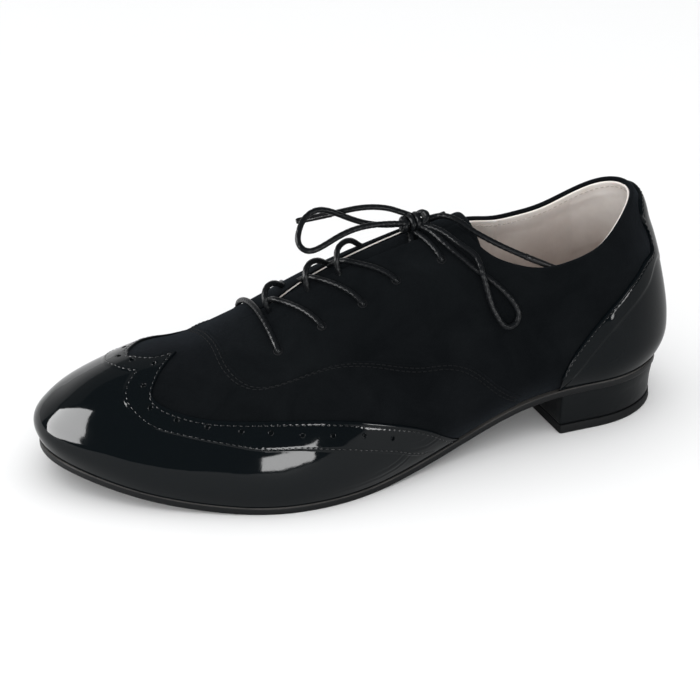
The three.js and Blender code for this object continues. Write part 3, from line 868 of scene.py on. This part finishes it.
wing_edge_outer = [
    (0.7942, 0.0294), (0.8134, 0.0635), (0.8298, 0.1036), (0.8365, 0.1358), (0.8306, 0.1656),
    (0.8164, 0.1967), (0.7894, 0.2363), (0.7537, 0.272), (0.7055, 0.3113), (0.6659, 0.3409),
    (0.6103, 0.3719), (0.5505, 0.3855), (0.4899, 0.3885), (0.4562, 0.3945), (0.4228, 0.404),
    (0.405, 0.407),
]
wing_edge_inner = [
    (0.7942, -0.0294), (0.808, -0.0305), (0.824, -0.0255), (0.8396, -0.0155), (0.8505, -0.006),
    (0.8535, 0.006), (0.8505, 0.022), (0.845, 0.0437), (0.8352, 0.0721), (0.815, 0.125),
    (0.782, 0.18), (0.735, 0.235), (0.67, 0.277), (0.6, 0.293), (0.515, 0.288), (0.425, 0.296),
]
wing_row_outer = [
    (0.8464, 0.0519), (0.857, 0.075), (0.8637, 0.1018), (0.8645, 0.1291), (0.8599, 0.1608),
    (0.8508, 0.1954), (0.838, 0.2246), (0.8223, 0.2478), (0.7944, 0.2837), (0.7489, 0.3363),
    (0.7272, 0.3604), (0.6723, 0.3999), (0.6169, 0.4287), (0.5527, 0.4362), (0.5191, 0.4331),
    (0.48, 0.429), (0.445, 0.419), (0.412, 0.4095),
]
wing_row_inner = [
    (0.8464, -0.0519), (0.8582, -0.0349), (0.8678, -0.0145), (0.8724, 0.009), (0.8695, 0.047),
    (0.86, 0.105), (0.842, 0.16), (0.808, 0.215), (0.755, 0.275), (0.68, 0.318), (0.6, 0.334),
    (0.515, 0.332), (0.44, 0.318),
]
band_steps = np.concatenate([np.linspace(0, 0.14, 11)[:-1], np.linspace(0.14, 1, 26)])
lower_steps = np.concatenate([np.linspace(0, 0.12, 9)[:-1], closing_steps(0.12, 26, 1.5)])
first_row = 2.0
band_height = 0.32
patent_groove = 0.08


# A patent piece as a grid, and each column's distance from its edge to its second line
def patent_grid(side, edge, second, start_along, columns):
    steps = [band_steps, lower_steps]
    grid = lasted_grid(side, [edge, second], steps, start_along, patent_layer, columns)
    return grid, grid["run"][:, len(band_steps) - 1]


# A row of stitches lies in a groove with a needle hole between each two of them
def sewn_row(grid, row, depth=0.12, width=0.34):
    along = line_run(row_on(grid, row)[0])
    row = np.broadcast_to(row, len(along))[:, None]
    away = np.abs((along + stitch_pitch / 2) % stitch_pitch - stitch_pitch / 2)
    holes = depth * bell(away, width)[:, None] * bell(grid["run"] - row, width)
    return groove(grid["run"], row, patent_groove) - holes


def patent_stitches(line, normals):
    return stitches(line, normals, length=1.5, width=0.42, sink=0.16)


def patent_point(at, across):
    return shoe_point(*pattern_place(np.array([at * last_length]), across), patent_layer)[0]


# Round holes punched in the band: the nearest points are drawn to the rim and those inside go down
def punch(points, normals, centres, radius=0.95, depth=0.75, rim_width=0.2, wall_share=0.94):
    flat = points.reshape(-1, 3)
    flat_normals = normals.reshape(-1, 3)
    for centre in centres:
        offset = flat - centre
        near = np.nonzero(np.linalg.norm(offset, axis=-1) < radius * 1.7)[0]
        upright = unit(flat_normals[near].mean(axis=0))
        flat_offset = offset[near] - upright * (offset[near] @ upright)[:, None]
        distance = np.linalg.norm(flat_offset, axis=-1)
        outward = flat_offset / np.maximum(distance, 1e-6)[:, None]
        band = np.abs(distance - radius) < rim_width
        inside = (distance < radius) & ~band
        lip = band & (distance >= radius)
        wall = band & (distance < radius)
        flat[near[lip]] += outward[lip] * (radius - distance[lip])[:, None]
        flat[near[wall]] += outward[wall] * (radius * wall_share - distance[wall])[:, None]
        flat[near[inside | wall]] -= upright * depth
    return flat.reshape(points.shape)


punched_outer = [
    (0.8436, 10.2), (0.8417, 16.6), (0.8163, 22.1), (0.7834, 26.4), (0.7425, 30.6), (0.7058, 33.9),
    (0.666, 37.3), (0.6234, 39.7), (0.5772, 40.8), (0.53, 41.1),
]
punched_middle = (0.8255, 4.9)


# Each hole has a fine raised rim where the punch has turned the lacquer up
def punched_rim(centre, upright, radius=1.0, lip=0.17):
    sideways = unit(np.cross(upright, (1.0, 0.2, 0.1)))
    ahead = np.cross(upright, sideways)
    turn = 2 * np.pi * np.arange(20) / 20
    roll = 2 * np.pi * np.arange(8) / 8
    out = np.cos(turn)[:, None] * sideways + np.sin(turn)[:, None] * ahead
    points = (
        centre + out[:, None] * (radius + lip * np.cos(roll))[None, :, None]
        + upright * (lip * np.sin(roll) - 0.02)[None, :, None]
    )
    index = np.arange(len(turn) * len(roll)).reshape(len(turn), len(roll))
    return points.reshape(-1, 3), table_faces(np.pad(index, ((0, 1), (0, 1)), mode="wrap"))


def share_in_band(grid, band_run, point):
    distance = np.linalg.norm(grid["points"] - point, axis=-1)
    column, row = np.unravel_index(np.argmin(distance), distance.shape)
    return column / (len(distance) - 1), grid["run"][column, row] / band_run[column]


def from_band(grid, band_run, place):
    column = int(round(place[0] * (len(grid["points"]) - 1)))
    line, normals = row_on(grid, band_run * place[1])
    return line[column], normals[column]


# At the ends of the wings the leather has creased into fine curved folds
wing_creases = [
    ((0.4451, 0.3964), (0.454, 0.4057), (0.4697, 0.4157), (0.4921, 0.4244), (0.5101, 0.4279)),
    ((0.4585, 0.3942), (0.4674, 0.402), (0.4809, 0.4109), (0.4989, 0.4177), (0.5146, 0.4205)),
    ((0.4966, 0.4301), (0.5101, 0.4478), (0.5258, 0.4639), (0.5527, 0.4857), (0.5861, 0.5061),
     (0.6256, 0.518)),
    ((0.5079, 0.4321), (0.5213, 0.4491), (0.5393, 0.4656), (0.5639, 0.4826)),
]


def crease_relief(grid, depth=0.16, width=0.4):
    relief = np.zeros(grid["run"].shape)
    share = np.linspace(0, 1, 40)
    fades = np.sin(np.pi * np.clip(share, 0.02, 0.98)) ** 0.5
    for crease in wing_creases:
        rows = np.array(crease) * (last_length, ball_width)
        x, across = points_at(share, np.linspace(0, 1, len(rows)), rows).T
        line = shoe_point(*pattern_place(x, grid["side"] * across), patent_layer)
        near = np.full(relief.shape, 99.0)
        fade = np.zeros(relief.shape)
        for point, point_fade in zip(line, fades):
            distance = np.linalg.norm(grid["points"] - point, axis=-1)
            fade = np.where(distance < near, point_fade, fade)
            near = np.minimum(distance, near)
        relief += depth * fade * (0.5 * bell(near - 1.0, 0.6) - bell(near, width))
    return relief


wing_parts = []
wing_thread = []
wing_rims = []
wing_lines = {1: (wing_edge_outer, wing_row_outer), -1: (wing_edge_inner, wing_row_inner)}
for side, lines in wing_lines.items():
    grid, band_run = patent_grid(side, *lines, 1.0, 430)
    run = grid["run"]
    down_wing = np.linspace(0, 1, len(run))
    raised = band_height * (1 - ease((down_wing - 0.86) / 0.1))[:, None]
    row_end = (1 - ease((down_wing - 0.88) / 0.04))[:, None]
    relief = (
        rounded_edge(run, 0.8, 0.95)
        + raised * (1 - ease((run - band_run[:, None] - 0.55) / 1.1))
        + sewn_row(grid, first_row)
        + sewn_row(grid, band_run) * row_end
        + crease_relief(grid)
    )
    grid["points"] = grid["points"] + grid["normals"] * relief[..., None]
    if side > 0:
        centres = [patent_point(at, across) for at, across in punched_outer + [punched_middle]]
        places = [share_in_band(grid, band_run, centre) for centre in centres]
        holes = [from_band(grid, band_run, place) for place in places]
        middle_hole = holes[-1]
        wing_rims.extend([punched_rim(*hole) for hole in holes])
    else:
        holes = [from_band(grid, band_run, place) for place in places[:-1]]
        wing_rims.extend([punched_rim(*hole) for hole in holes])
        holes.append(middle_hole)
    wing_thread.append(patent_stitches(*row_on(grid, first_row)))
    line, normals = row_on(grid, band_run)
    sewn = int(0.885 * len(line))
    wing_thread.append(patent_stitches(line[:sewn], normals[:sewn]))
    points = punch(grid["points"], grid["normals"], [centre for centre, _ in holes])
    wing_parts.append(grid_part(points, side > 0))
wing = join_parts(wing_parts + wing_rims)
make_piece("wing_cap_patent", wing, patent_black, "wing_cap", weld=0.01)
make_piece("wing_cap_stitching", join_parts(wing_thread), thread_black, "wing_cap")


# The counter is the same patent leather wrapped round the heel, in a copy with a thinner coat whose
# dimmer reflections are painted shade at the back. It stands up behind as a tab over the back seam, and
# its stitched border lies a little proud of the rest.
counter_edge = [
    (0.09, 0.0), (0.094, 0.06), (0.0994, 0.102), (0.0935, 0.1135), (0.084, 0.1165), (0.079, 0.13),
    (0.0835, 0.15), (0.0935, 0.1705), (0.1075, 0.199), (0.1244, 0.2254), (0.1391, 0.244),
    (0.1577, 0.261), (0.1757, 0.2757), (0.1934, 0.2914), (0.2085, 0.306), (0.221, 0.321),
    (0.23, 0.336),
]
counter_ridge = [
    (0.04, 0.0), (0.044, 0.045), (0.052, 0.082), (0.062, 0.108), (0.0705, 0.134), (0.0785, 0.16),
    (0.088, 0.193), (0.102, 0.2235), (0.123, 0.2545), (0.145, 0.278), (0.17, 0.3), (0.193, 0.3205),
    (0.2115, 0.3375), (0.2275, 0.3535),
]
# Lasting has left one small bulge in its outer border
counter_bulge = np.array([11.5, 36, 50.5])
bulge_height = 0.55
bulge_width = 4.2
counter_row = 1.5
counter_parts = []
counter_thread = []
for side in (1, -1):
    grid, band_run = patent_grid(side, counter_edge, counter_ridge, 0.0, 190)
    run = grid["run"]
    from_bulge = np.linalg.norm(grid["points"] - counter_bulge, axis=-1)
    relief = (
        rounded_edge(run, 0.8, 1.35)
        + band_height * (1 - ease((run - band_run[:, None] + 1.2) / 2.6))
        + sewn_row(grid, counter_row)
        + bulge_height * bell(from_bulge, bulge_width)
    )
    grid["points"] = grid["points"] + grid["normals"] * relief[..., None]
    counter_thread.append(patent_stitches(*row_on(grid, counter_row)))
    counter_parts.append(grid_part(grid["points"], side < 0))
counter = join_parts(counter_parts)
make_piece("counter_patent", counter, patent_shaded_back, "heel_counter", weld=0.01)
make_piece("counter_stitching", join_parts(counter_thread), thread_black, "heel_counter")


# The outsole is split leather with its rough side down, closed by a smooth dyed edge. It lies under
# the whole shoe, rises over the heel seat and at the toe, and stands a little outside the upper.
sole_reach = 3.6


# A closed outline moved in by a distance, whichever way round it runs
def set_in(outline, inset):
    tangents = np.roll(outline, -1, axis=0) - np.roll(outline, 1, axis=0)
    inward = unit(np.stack([-tangents[:, 1], tangents[:, 0]], axis=-1))
    if np.sum(inward * (outline.mean(axis=0) - outline)) < 0:
        inward = -inward
    return outline + inward * inset


# A layer stacked from rings of one outline, each set in and at its own height above the sole's
# underside. Rows of faces across it close it above and below.
def stacked_layer(outline, insets, levels, fill_rows):
    count = len(outline)
    half = count // 2
    rings = [set_in(outline, inset) for inset in insets]
    points = [
        np.column_stack([ring, sole_underside(ring[:, 0]) + level])
        for ring, level in zip(rings, levels)
    ]
    faces = ring_faces(len(rings), count, ends=False)
    start = len(rings) * count
    for k, turned in ((0, True), (len(rings) - 1, False)):
        ring = points[k]
        first = ring[:half + 1]
        second = np.concatenate([ring[:1], ring[:half - 1:-1]])
        steps = np.linspace(0, 1, fill_rows + 1)[None, 1:-1, None]
        inside = mix(first[:, None], second[:, None], steps)
        inside[..., 2] = sole_underside(inside[..., 0]) + levels[k]
        inside_index = start + np.arange(inside[..., 0].size).reshape(inside.shape[:2])
        start += inside_index.size
        points.append(inside.reshape(-1, 3))
        first_index = k * count + np.arange(half + 1)
        second_index = k * count + np.concatenate([[0], np.arange(count - 1, half - 1, -1)])
        faces += table_faces(np.column_stack([first_index, inside_index, second_index]), turned)
    return np.concatenate(points), faces


sole_leather = new_finish(
    "sole_leather", (0.0045, 0.005, 0.0055), 0.45, 0.12,
    relief=[(0.25, 0.0002, {"Scale": 900, "Detail": 5, "Roughness": 0.7})],
)
sole_suede = new_finish(
    "sole_suede", (0.05, 0.048, 0.046), 0.95, 0.2,
    relief=[(0.8, 0.0004, {"Scale": 1400, "Detail": 6, "Roughness": 0.75})],
)
add_tone(
    sole_suede, (0.3, (0.03, 0.029, 0.028)), (0.7, (0.075, 0.071, 0.067)),
    Scale=35, Detail=4, Roughness=0.6,
)

sole_insets = [0.7, 0.25, 0.05, 0, 0, 0.06, 0.3, 0.9]
sole_levels = [0, 0.06, 0.3, 0.7, 2.4, 2.75, 2.95, 3.0]
outer, inner = foot_outline(np.linspace(0, 1, 181), sole_reach)
sole = stacked_layer(np.concatenate([outer, inner[-2:0:-1]]), sole_insets, sole_levels, 10)
outsole = make_piece("outsole_leather", sole, sole_leather, "outsole")
outsole.data.materials.append(sole_suede)
for polygon in outsole.data.polygons:
    if polygon.normal.z < -0.75:
        polygon.material_index = 1


# The heel is a low block covered in smooth leather, drawn in a touch at mid height, with a flat
# breast. Its rubber top piece is a separate lift that flares by a hair at the floor.
heel_length = 62
heel_taper = 0.97
top_piece_height = 4
breast_x = heel_length - heel_back


def heel_ring(reach, taper):
    alongs = np.linspace(0, along_at(heel_length / last_length), 90)
    outer, inner = foot_outline(alongs, reach)
    closed = np.concatenate([outer, inner[:0:-1], outer[:1]])
    x = np.minimum(breast_x - (breast_x - closed[:, 0]) * taper, breast_x)
    closed = np.column_stack([x, closed[:, 1] * taper])
    run = line_run(closed)
    ring = points_at(np.linspace(0, run[-1], 361)[:-1], run, closed)
    for _ in range(5):
        ring = ring * 0.5 + (np.roll(ring, 1, axis=0) + np.roll(ring, -1, axis=0)) * 0.25
    return ring


heel_cover = new_finish(
    "heel_cover", (0.0045, 0.0055, 0.0062), 0.4, 0.06,
    relief=[
        (0.12, 0.0002, {"kind": "Voronoi", "Scale": 1100, "feature": "SMOOTH_F1"}),
        (0.3, 0.0012, {"Scale": 70, "Detail": 4, "Roughness": 0.55}),
    ],
    more={"Coat Weight": 0.06, "Coat Roughness": 0.3, "Coat IOR": 1.25},
)
heel_rubber = new_finish(
    "heel_rubber", (0.0055, 0.006, 0.0065), 0.65, 0.1,
    relief=[(0.3, 0.0002, {"Scale": 1600, "Detail": 3})],
)

heel_reach = 3.2
heel_outline = heel_ring(heel_reach, heel_taper)
heel_top = heel_ring(heel_reach, 1.0)
heel_levels = [0, 0.03, 0.08, 0.3, 0.5, 0.7, 0.92, 1.0]
heel_insets = [0.6, 0.12, 0.0, 0.22, 0.34, 0.25, 0.0, 0.15]


def loft_rings(rings, heights):
    points = [np.column_stack([ring, height]) for ring, height in zip(rings, heights)]
    return np.concatenate(points), ring_faces(len(rings), len(rings[0]))


rings = []
heights = []
for level, inset in zip(heel_levels, heel_insets):
    ring = set_in(mix(heel_outline, heel_top, level), inset)
    rings.append(ring)
    heights.append(mix(top_piece_height + 0.05, sole_underside(ring[:, 0]) + 0.1, level))
heel = loft_rings(rings, heights)
make_piece("heel_block_cover", heel, heel_cover, "heel_block")

lift_outline = heel_ring(sole_reach, heel_taper)
lift_levels = [0, 0.15, 0.6, 3.5, 3.9, top_piece_height]
lift_insets = [0.5, 0.05, -0.15, 0.1, 0.2, 0.5]
rings = [set_in(lift_outline, inset) for inset in lift_insets]
heights = [np.full(len(lift_outline), level) for level in lift_levels]
lift = loft_rings(rings, heights)
make_piece("heel_top_lift", lift, heel_rubber, "heel_top_piece")


# The laces are round waxed braid. A straight bar crosses the throat, and above it each strand comes
# from under one facing, arches over the gap and dives into the next eyelet of the other facing.
lace_diameter = 2.5
tip_diameter = 2.8
lace_sides = 24
lace_step = 0.3
braid_pitch = 2.6
eyelets = [(0.668, 0.16), (0.601, 0.159), (0.535, 0.144), (0.476, 0.118), (0.402, 0.109)]


def smooth_route(points, spacing=lace_step):
    points = np.array(points, float)
    chords = np.sqrt(np.linalg.norm(np.diff(points, axis=0), axis=1))
    knots = np.concatenate([[0], np.cumsum(chords)])
    fine = np.linspace(0, knots[-1], 800)
    line = np.stack([spline(knots, column)(fine) for column in points.T], axis=-1)
    run = line_run(line)
    count = max(int(round(run[-1] / spacing)), 8)
    return points_at(np.linspace(0, run[-1], count + 1), run, line)


# Two directions across a route, carried along it without a twist
def carried_frames(route):
    tangents = unit(np.gradient(route, axis=0))
    first = np.cross(tangents[0], (0, 0, 1.0))
    sideways = [unit(first if np.linalg.norm(first) > 0.1 else np.array((1.0, 0, 0)))]
    for tangent in tangents[1:]:
        sideways.append(unit(sideways[-1] - tangent * np.dot(sideways[-1], tangent)))
    sideways = np.array(sideways)
    return sideways, np.cross(tangents, sideways)


# A tube along a route, with a radius for each ring and side
def tube_mesh(route, radius):
    sideways, upright = carried_frames(route)
    turn = (2 * np.pi * np.arange(radius.shape[1]) / radius.shape[1])[:, None]
    ring = np.cos(turn) * sideways[:, None] + np.sin(turn) * upright[:, None]
    return (route[:, None] + ring * radius[..., None]).reshape(-1, 3), ring_faces(*radius.shape)


# Eight strands of braid cross on the way round, four leaning each way
def braid_mesh(route):
    turn = 2 * np.pi * np.arange(lace_sides) / lace_sides
    lean = 2 * np.pi * line_run(route)[:, None] / braid_pitch
    weave = np.maximum(np.cos(4 * turn + lean), np.cos(4 * turn - lean))
    return tube_mesh(route, lace_diameter / 2 * (0.94 + 0.06 * weave))


lace_black = new_finish(
    "lace_black", (0.0045, 0.0052, 0.006), 0.3, 0.1,
    relief=[(0.35, 0.0002, {"Scale": 1700, "Detail": 4, "Roughness": 0.7})],
)


def at_places(rows):
    x, across, off = np.array(rows, float).T
    side, along, up = pattern_place(x * last_length, across)
    return offset_point(side, along, up, off)


def eyelet_place(side, number, off, out=0.0):
    at, share = eyelets[number - 1]
    return (at, side * (share * ball_width + out), off)


# Near-going strands come from under the far facing and lie over the near one
near_edges = [(0.636, 2.7), (0.574, 3.6), (0.524, 2.4), (0.418, 2.3)]
lace_strands = [[], [], [], []]
for level, (edge_at, edge_across) in enumerate(near_edges):
    eye_at, eye_share = eyelets[level + 1]
    eye_across = eye_share * ball_width
    slope = (edge_at - eye_at) / (eye_across - edge_across)
    rows = [
        (edge_at + slope * (edge_across + 7), -7, -1.2),
        (edge_at + slope * (edge_across + 3.5), -3.5, 0.2),
        (edge_at + slope * edge_across, 0, 2.5),
        (edge_at, edge_across, 2.9),
        (mix(edge_at, eye_at, 0.5), mix(edge_across, eye_across, 0.46), 2.75),
        (mix(edge_at, eye_at, 0.85), mix(edge_across, eye_across, 0.82), 2.65),
        (eye_at, eye_across, 1.6),
        (mix(edge_at, eye_at, 1.06), mix(edge_across, eye_across, 1.06), -1.2),
    ]
    lace_strands[level].append(smooth_route(at_places(rows)))

# Far-going strands come from under the near facing and stand in loose arches before the far eyelets
arches = [
    [(153.9, 5, 67.3), (155.8, 5, 72.1), (155.6, 3.5, 75.5), (153.8, 1.5, 77.5), (150.7, -1, 77.5),
     (146.9, -4, 75.4), (143.7, -7, 72.6)],
    [(137.3, 6, 74.3), (138.1, 5.5, 79.2), (137.7, 4, 83.1), (135.4, 2, 85), (131.2, -1, 84.6),
     (126.9, -4, 82), (123.5, -7, 78.8)],
    [(123.5, 6, 79.2), (124.4, 5.5, 84.1), (123.9, 4, 88.8), (121.9, 2, 90.8), (117.8, -1, 91.1),
     (113.4, -4, 89.1), (109.1, -7, 85.3)],
]
for level, arch in enumerate(arches):
    eyelet = at_places([eyelet_place(-1, level + 2, 2.4, out=-1.5), eyelet_place(-1, level + 2, -1.2)])
    lace_strands[level].append(smooth_route(list(arch) + eyelet.tolist()))

top_rows = [
    (0.438, 7, -1.2), (0.432, 3.5, 0.2), (0.424, 0, 2.0), (0.416, -3.5, 3.1), (0.408, -8, 2.9),
    (0.402, -10.9, 1.4), (0.4, -11.6, -1.2),
]
lace_strands[3].append(smooth_route(at_places(top_rows)))
for number, routes in enumerate(lace_strands, start=1):
    strands = join_parts([braid_mesh(route) for route in routes])
    make_piece(f"lace_crossing_{number}", strands, lace_black, f"lace_cross_{number}")

# The eyelets are holes punched through both facings, five a side. They are bound from behind with
# thin dull rings, and only their rims show.
eyelet_radius = 1.75
eyelet_height = 1.78
washer_flat = 0.93
eyelet_parts = []
for number in range(1, 6):
    for eye_side in (1, -1):
        places = [eyelet_place(eye_side, number, off) for off in (eyelet_height, eyelet_height + 1)]
        centre, over = at_places(places)
        upright = unit(over - centre)
        eyelet_parts.append(punched_rim(centre, upright, radius=eyelet_radius, lip=0.28))
        washer, washer_faces = punched_rim(centre - upright * 0.05, upright, radius=0.85, lip=0.85)
        thick = (washer - centre) @ upright
        eyelet_parts.append((washer - (thick * washer_flat)[:, None] * upright, washer_faces))
make_piece("eyelet_rims", join_parts(eyelet_parts), thread_dull, "upper")

bar_rows = [
    eyelet_place(1, 1, -1.2, out=0.6), eyelet_place(1, 1, 1.6), eyelet_place(1, 1, 2.9, out=-2.2),
    (0.668, 9, 3.2), (0.668, 4, 3.3), (0.668, 0, 3.3), (0.668, -4, 3.3), (0.668, -9, 3.2),
    eyelet_place(-1, 1, 2.9, out=-2.2), eyelet_place(-1, 1, 1.6), eyelet_place(-1, 1, -1.2, out=0.6),
]
bar = braid_mesh(smooth_route(at_places(bar_rows)))
make_piece("lace_throat_bar", bar, lace_black, "lace_bar")

# The bow is tied from the two ends of the lace. One loop falls on the outer side and comes back to
# the knot, the other stands out to the front, and each end has a hard tip.
outer_loop = [
    (86, 2.5, 94.8), (83, 6.7, 95.1), (80.8, 10, 94.7), (78.5, 13.7, 93.6), (75.2, 19.7, 91.1),
    (70.9, 24.6, 87.7), (69.6, 27.8, 83.8), (68.4, 31, 76.4), (66.9, 33.2, 68.9), (64.8, 35, 63.2),
    (60.6, 36.2, 58), (56, 35.8, 59.4), (55.6, 34.6, 65), (62, 31, 74), (67.2, 27.7, 78.8),
    (71.2, 25, 82), (74.6, 21.9, 85.4), (77.9, 18.1, 88.4), (81.2, 12.8, 91.6), (82.8, 8.8, 93.2),
    (85.1, 5.1, 94.4), (87, 2.2, 94.6),
]
front_loop = [
    (89.9, -1, 94.8), (94.9, -2, 94.6), (99.4, -3, 94.7), (107.2, -5, 96), (117.1, -6, 100.4),
    (128.1, -5, 105.2), (135.1, -3, 103.5), (138.9, 0, 99.5), (140.1, 3, 95.1), (136.9, 6, 92.7),
    (126.7, 7, 96.4), (114.8, 6, 99.4), (102.4, 4, 98.4), (97, 3, 97.3), (91.2, 2, 96),
]
front_end = [
    (86.3, -2, 96.4), (89, -3, 97.8), (91.8, -4, 98.9), (96, -6, 100.3), (101.9, -8, 101.2),
    (107.9, -10, 101), (114.7, -11, 100.3), (120.1, -12, 99.4),
]
front_tip = [(120.1, -12, 99.4), (127.5, -13, 98.5), (134.9, -14, 97.6)]
back_end = [
    (84.8, 0, 95.2), (82.1, 1, 96.2), (78, 3, 97.7), (74.3, 7, 98.2), (70.6, 11, 96.5),
    (68, 13.5, 94.4), (61.9, 18, 90.6), (55.5, 21, 87), (47, 23.5, 82.5),
]
back_tip = [(47, 23.5, 82.5), (39, 24.8, 78.4), (31.3, 26, 74.5)]

lace_tip = new_finish(
    "lace_tip", (0.006, 0.006, 0.0065), 0.25, 0.25,
    relief=[(0.12, 0.0002, {"Scale": 800, "Detail": 2})],
)


# A tip tapers a little to its rounded end and has a crimped ring near the lace
def tip_piece(name, points_on_line, node):
    route = smooth_route(points_on_line, 0.5)
    share = np.linspace(0, 1, len(route))
    profile = 1 - 0.06 * share - 0.25 * np.clip((share - 0.93) / 0.07, 0, 1) ** 2
    profile = profile - 0.1 * bell(share - 0.12, 0.02)
    radius = np.tile(tip_diameter / 2 * profile[:, None], 20)
    return make_piece(name, tube_mesh(route, radius), lace_tip, node)


def loose_lace(name, line, node):
    route = smooth_route(line)
    piece = make_piece(name, braid_mesh(route), lace_black, node)
    path = (smooth_route(line, 1.0) * mm).tolist()


front_tip_piece = tip_piece("lace_tip_at_front", front_tip, "lace_tip_front")
back_tip_piece = tip_piece("lace_tip_at_back", back_tip, "lace_tip_back")
loose_lace("bow_loop_outer", outer_loop, "lace_loop_outer")
loose_lace("bow_loop_front", front_loop, "lace_loop_front")
loose_lace("bow_end_front", front_end, "lace_end_front")
loose_lace("bow_end_back", back_end, "lace_end_back")

# The knot is the lace drawn tight over itself: three strands side by side, and four turns of the lace
# round them, each with its place, lean, width, height and rise.
knot_centre = np.array((88, 0, 95.4))
knot_turns = [
    (-4.3, -0.5, 3.0, 2.5, 0.5), (-1.5, 0.3, 3.5, 2.9, 0.1), (1.4, -0.2, 3.5, 2.8, -0.2),
    (4.1, 0.4, 2.9, 2.3, -0.5),
]
knot_lines = [
    [(-6.2, -0.6, -1.0), (-2, -1.2, 0.0), (2, -1.2, 0.0), (6.2, -1, -1.0)],
    [(-6.2, 1.4, -0.6), (-2, 1.2, 0.4), (2, 1.0, 0.4), (6.2, 1.4, -0.4)],
    [(-1.5, 2.4, -0.5), (-4.0, 3.3, 1.2), (-5.2, 2.2, 3.3), (-4.2, 0.2, 3.9), (-2.2, -1.2, 2.6)],
]
for x, lean, wide, tall, up in knot_turns:
    turn = np.linspace(-0.5 * np.pi - 0.2, 1.5 * np.pi + 0.2, 12)
    knot_lines.append(np.column_stack([
        x + lean * np.cos(turn) + 0.12 * turn, wide * np.cos(turn), up + tall * np.sin(turn),
    ]))
knot = join_parts([braid_mesh(smooth_route(np.array(line) + knot_centre)) for line in knot_lines])
make_piece("bow_knot", knot, lace_black, "lace_knot")


# The shoe stands on a wide pale floor of paper. Soft light comes from above and from the front, and
# softboxes with a brighter face show in the patent leather.
floor_reach = 9.0
floor_corners = [
    (x * floor_reach, y * floor_reach, 0) for x, y in ((-1, -1), (1, -1), (1, 1), (-1, 1))
]
floor_mesh = bpy.data.meshes.new("floor")
floor_mesh.from_pydata(floor_corners, [], [(0, 1, 2, 3)])
floor_paper = new_finish("floor_paper", (0.86, 0.86, 0.86), 0.9, 0.1)
floor_mesh.materials.append(floor_paper)
floor = bpy.data.objects.new("floor", floor_mesh)
bpy.context.scene.collection.objects.link(floor)


def soft_light(name, place, target, width, height, radiance, mirrored, turn=0):
    lamp = bpy.data.lights.new(name, "AREA")
    lamp.shape = "RECTANGLE"
    lamp.size = width
    lamp.size_y = height
    lamp.energy = radiance * math.pi * width * height
    light = bpy.data.objects.new(name, lamp)
    light.location = place
    light.rotation_mode = "QUATERNION"
    facing = (Vector(target) - Vector(place)).to_track_quat("-Z", "Y")
    light.rotation_quaternion = facing @ Quaternion((0, 0, 1), math.radians(turn))
    light.visible_camera = False
    light.visible_glossy = mirrored
    light.visible_diffuse = not mirrored
    bpy.context.scene.collection.objects.link(light)


soft_light("overhead_light", (0.1, -0.1, 1.6), (0.1, -0.1, 0), 4.0, 4.0, 1.45, False)
soft_light("front_light", (0.6, 1.55, 0.5), (0.1, 0, 0.05), 1.8, 0.8, 4.0, False)
soft_light("toe_light", (1.7, 0.2, 0.4), (0.1, 0, 0.03), 1.4, 0.7, 2.4, False)
soft_light("toe_softbox", (1.02, -0.13, 0.3), (0.242, 0.003, 0.032), 0.64, 0.62, 28, True, 24)
soft_light("side_softbox", (0.253, 0.938, 0.122), (0.16, 0.052, 0.025), 0.46, 0.17, 27, True)
soft_light("back_softbox", (-0.53, 0.72, 0.16), (0.01, 0.036, 0.053), 0.2, 0.22, 30, True)
soft_light("far_softbox", (0.25, -1.5, 0.42), (0.2, 0, 0.04), 3.0, 0.9, 0.6, True)
soft_light("far_softbox_high", (0.45, -1.25, 1.3), (0.2, 0, 0.04), 3.0, 0.9, 0.22, True)

world = bpy.data.worlds.new("world")
bpy.context.scene.world = world
world.use_nodes = True
background = world.node_tree.nodes["Background"]
background.inputs["Color"].default_value = (0.12, 0.125, 0.13, 1)
background.inputs["Strength"].default_value = 1.0

view = bpy.context.scene.view_settings
view.view_transform = "Standard"
view.look = "None"
view.exposure = 0
view.gamma = 1
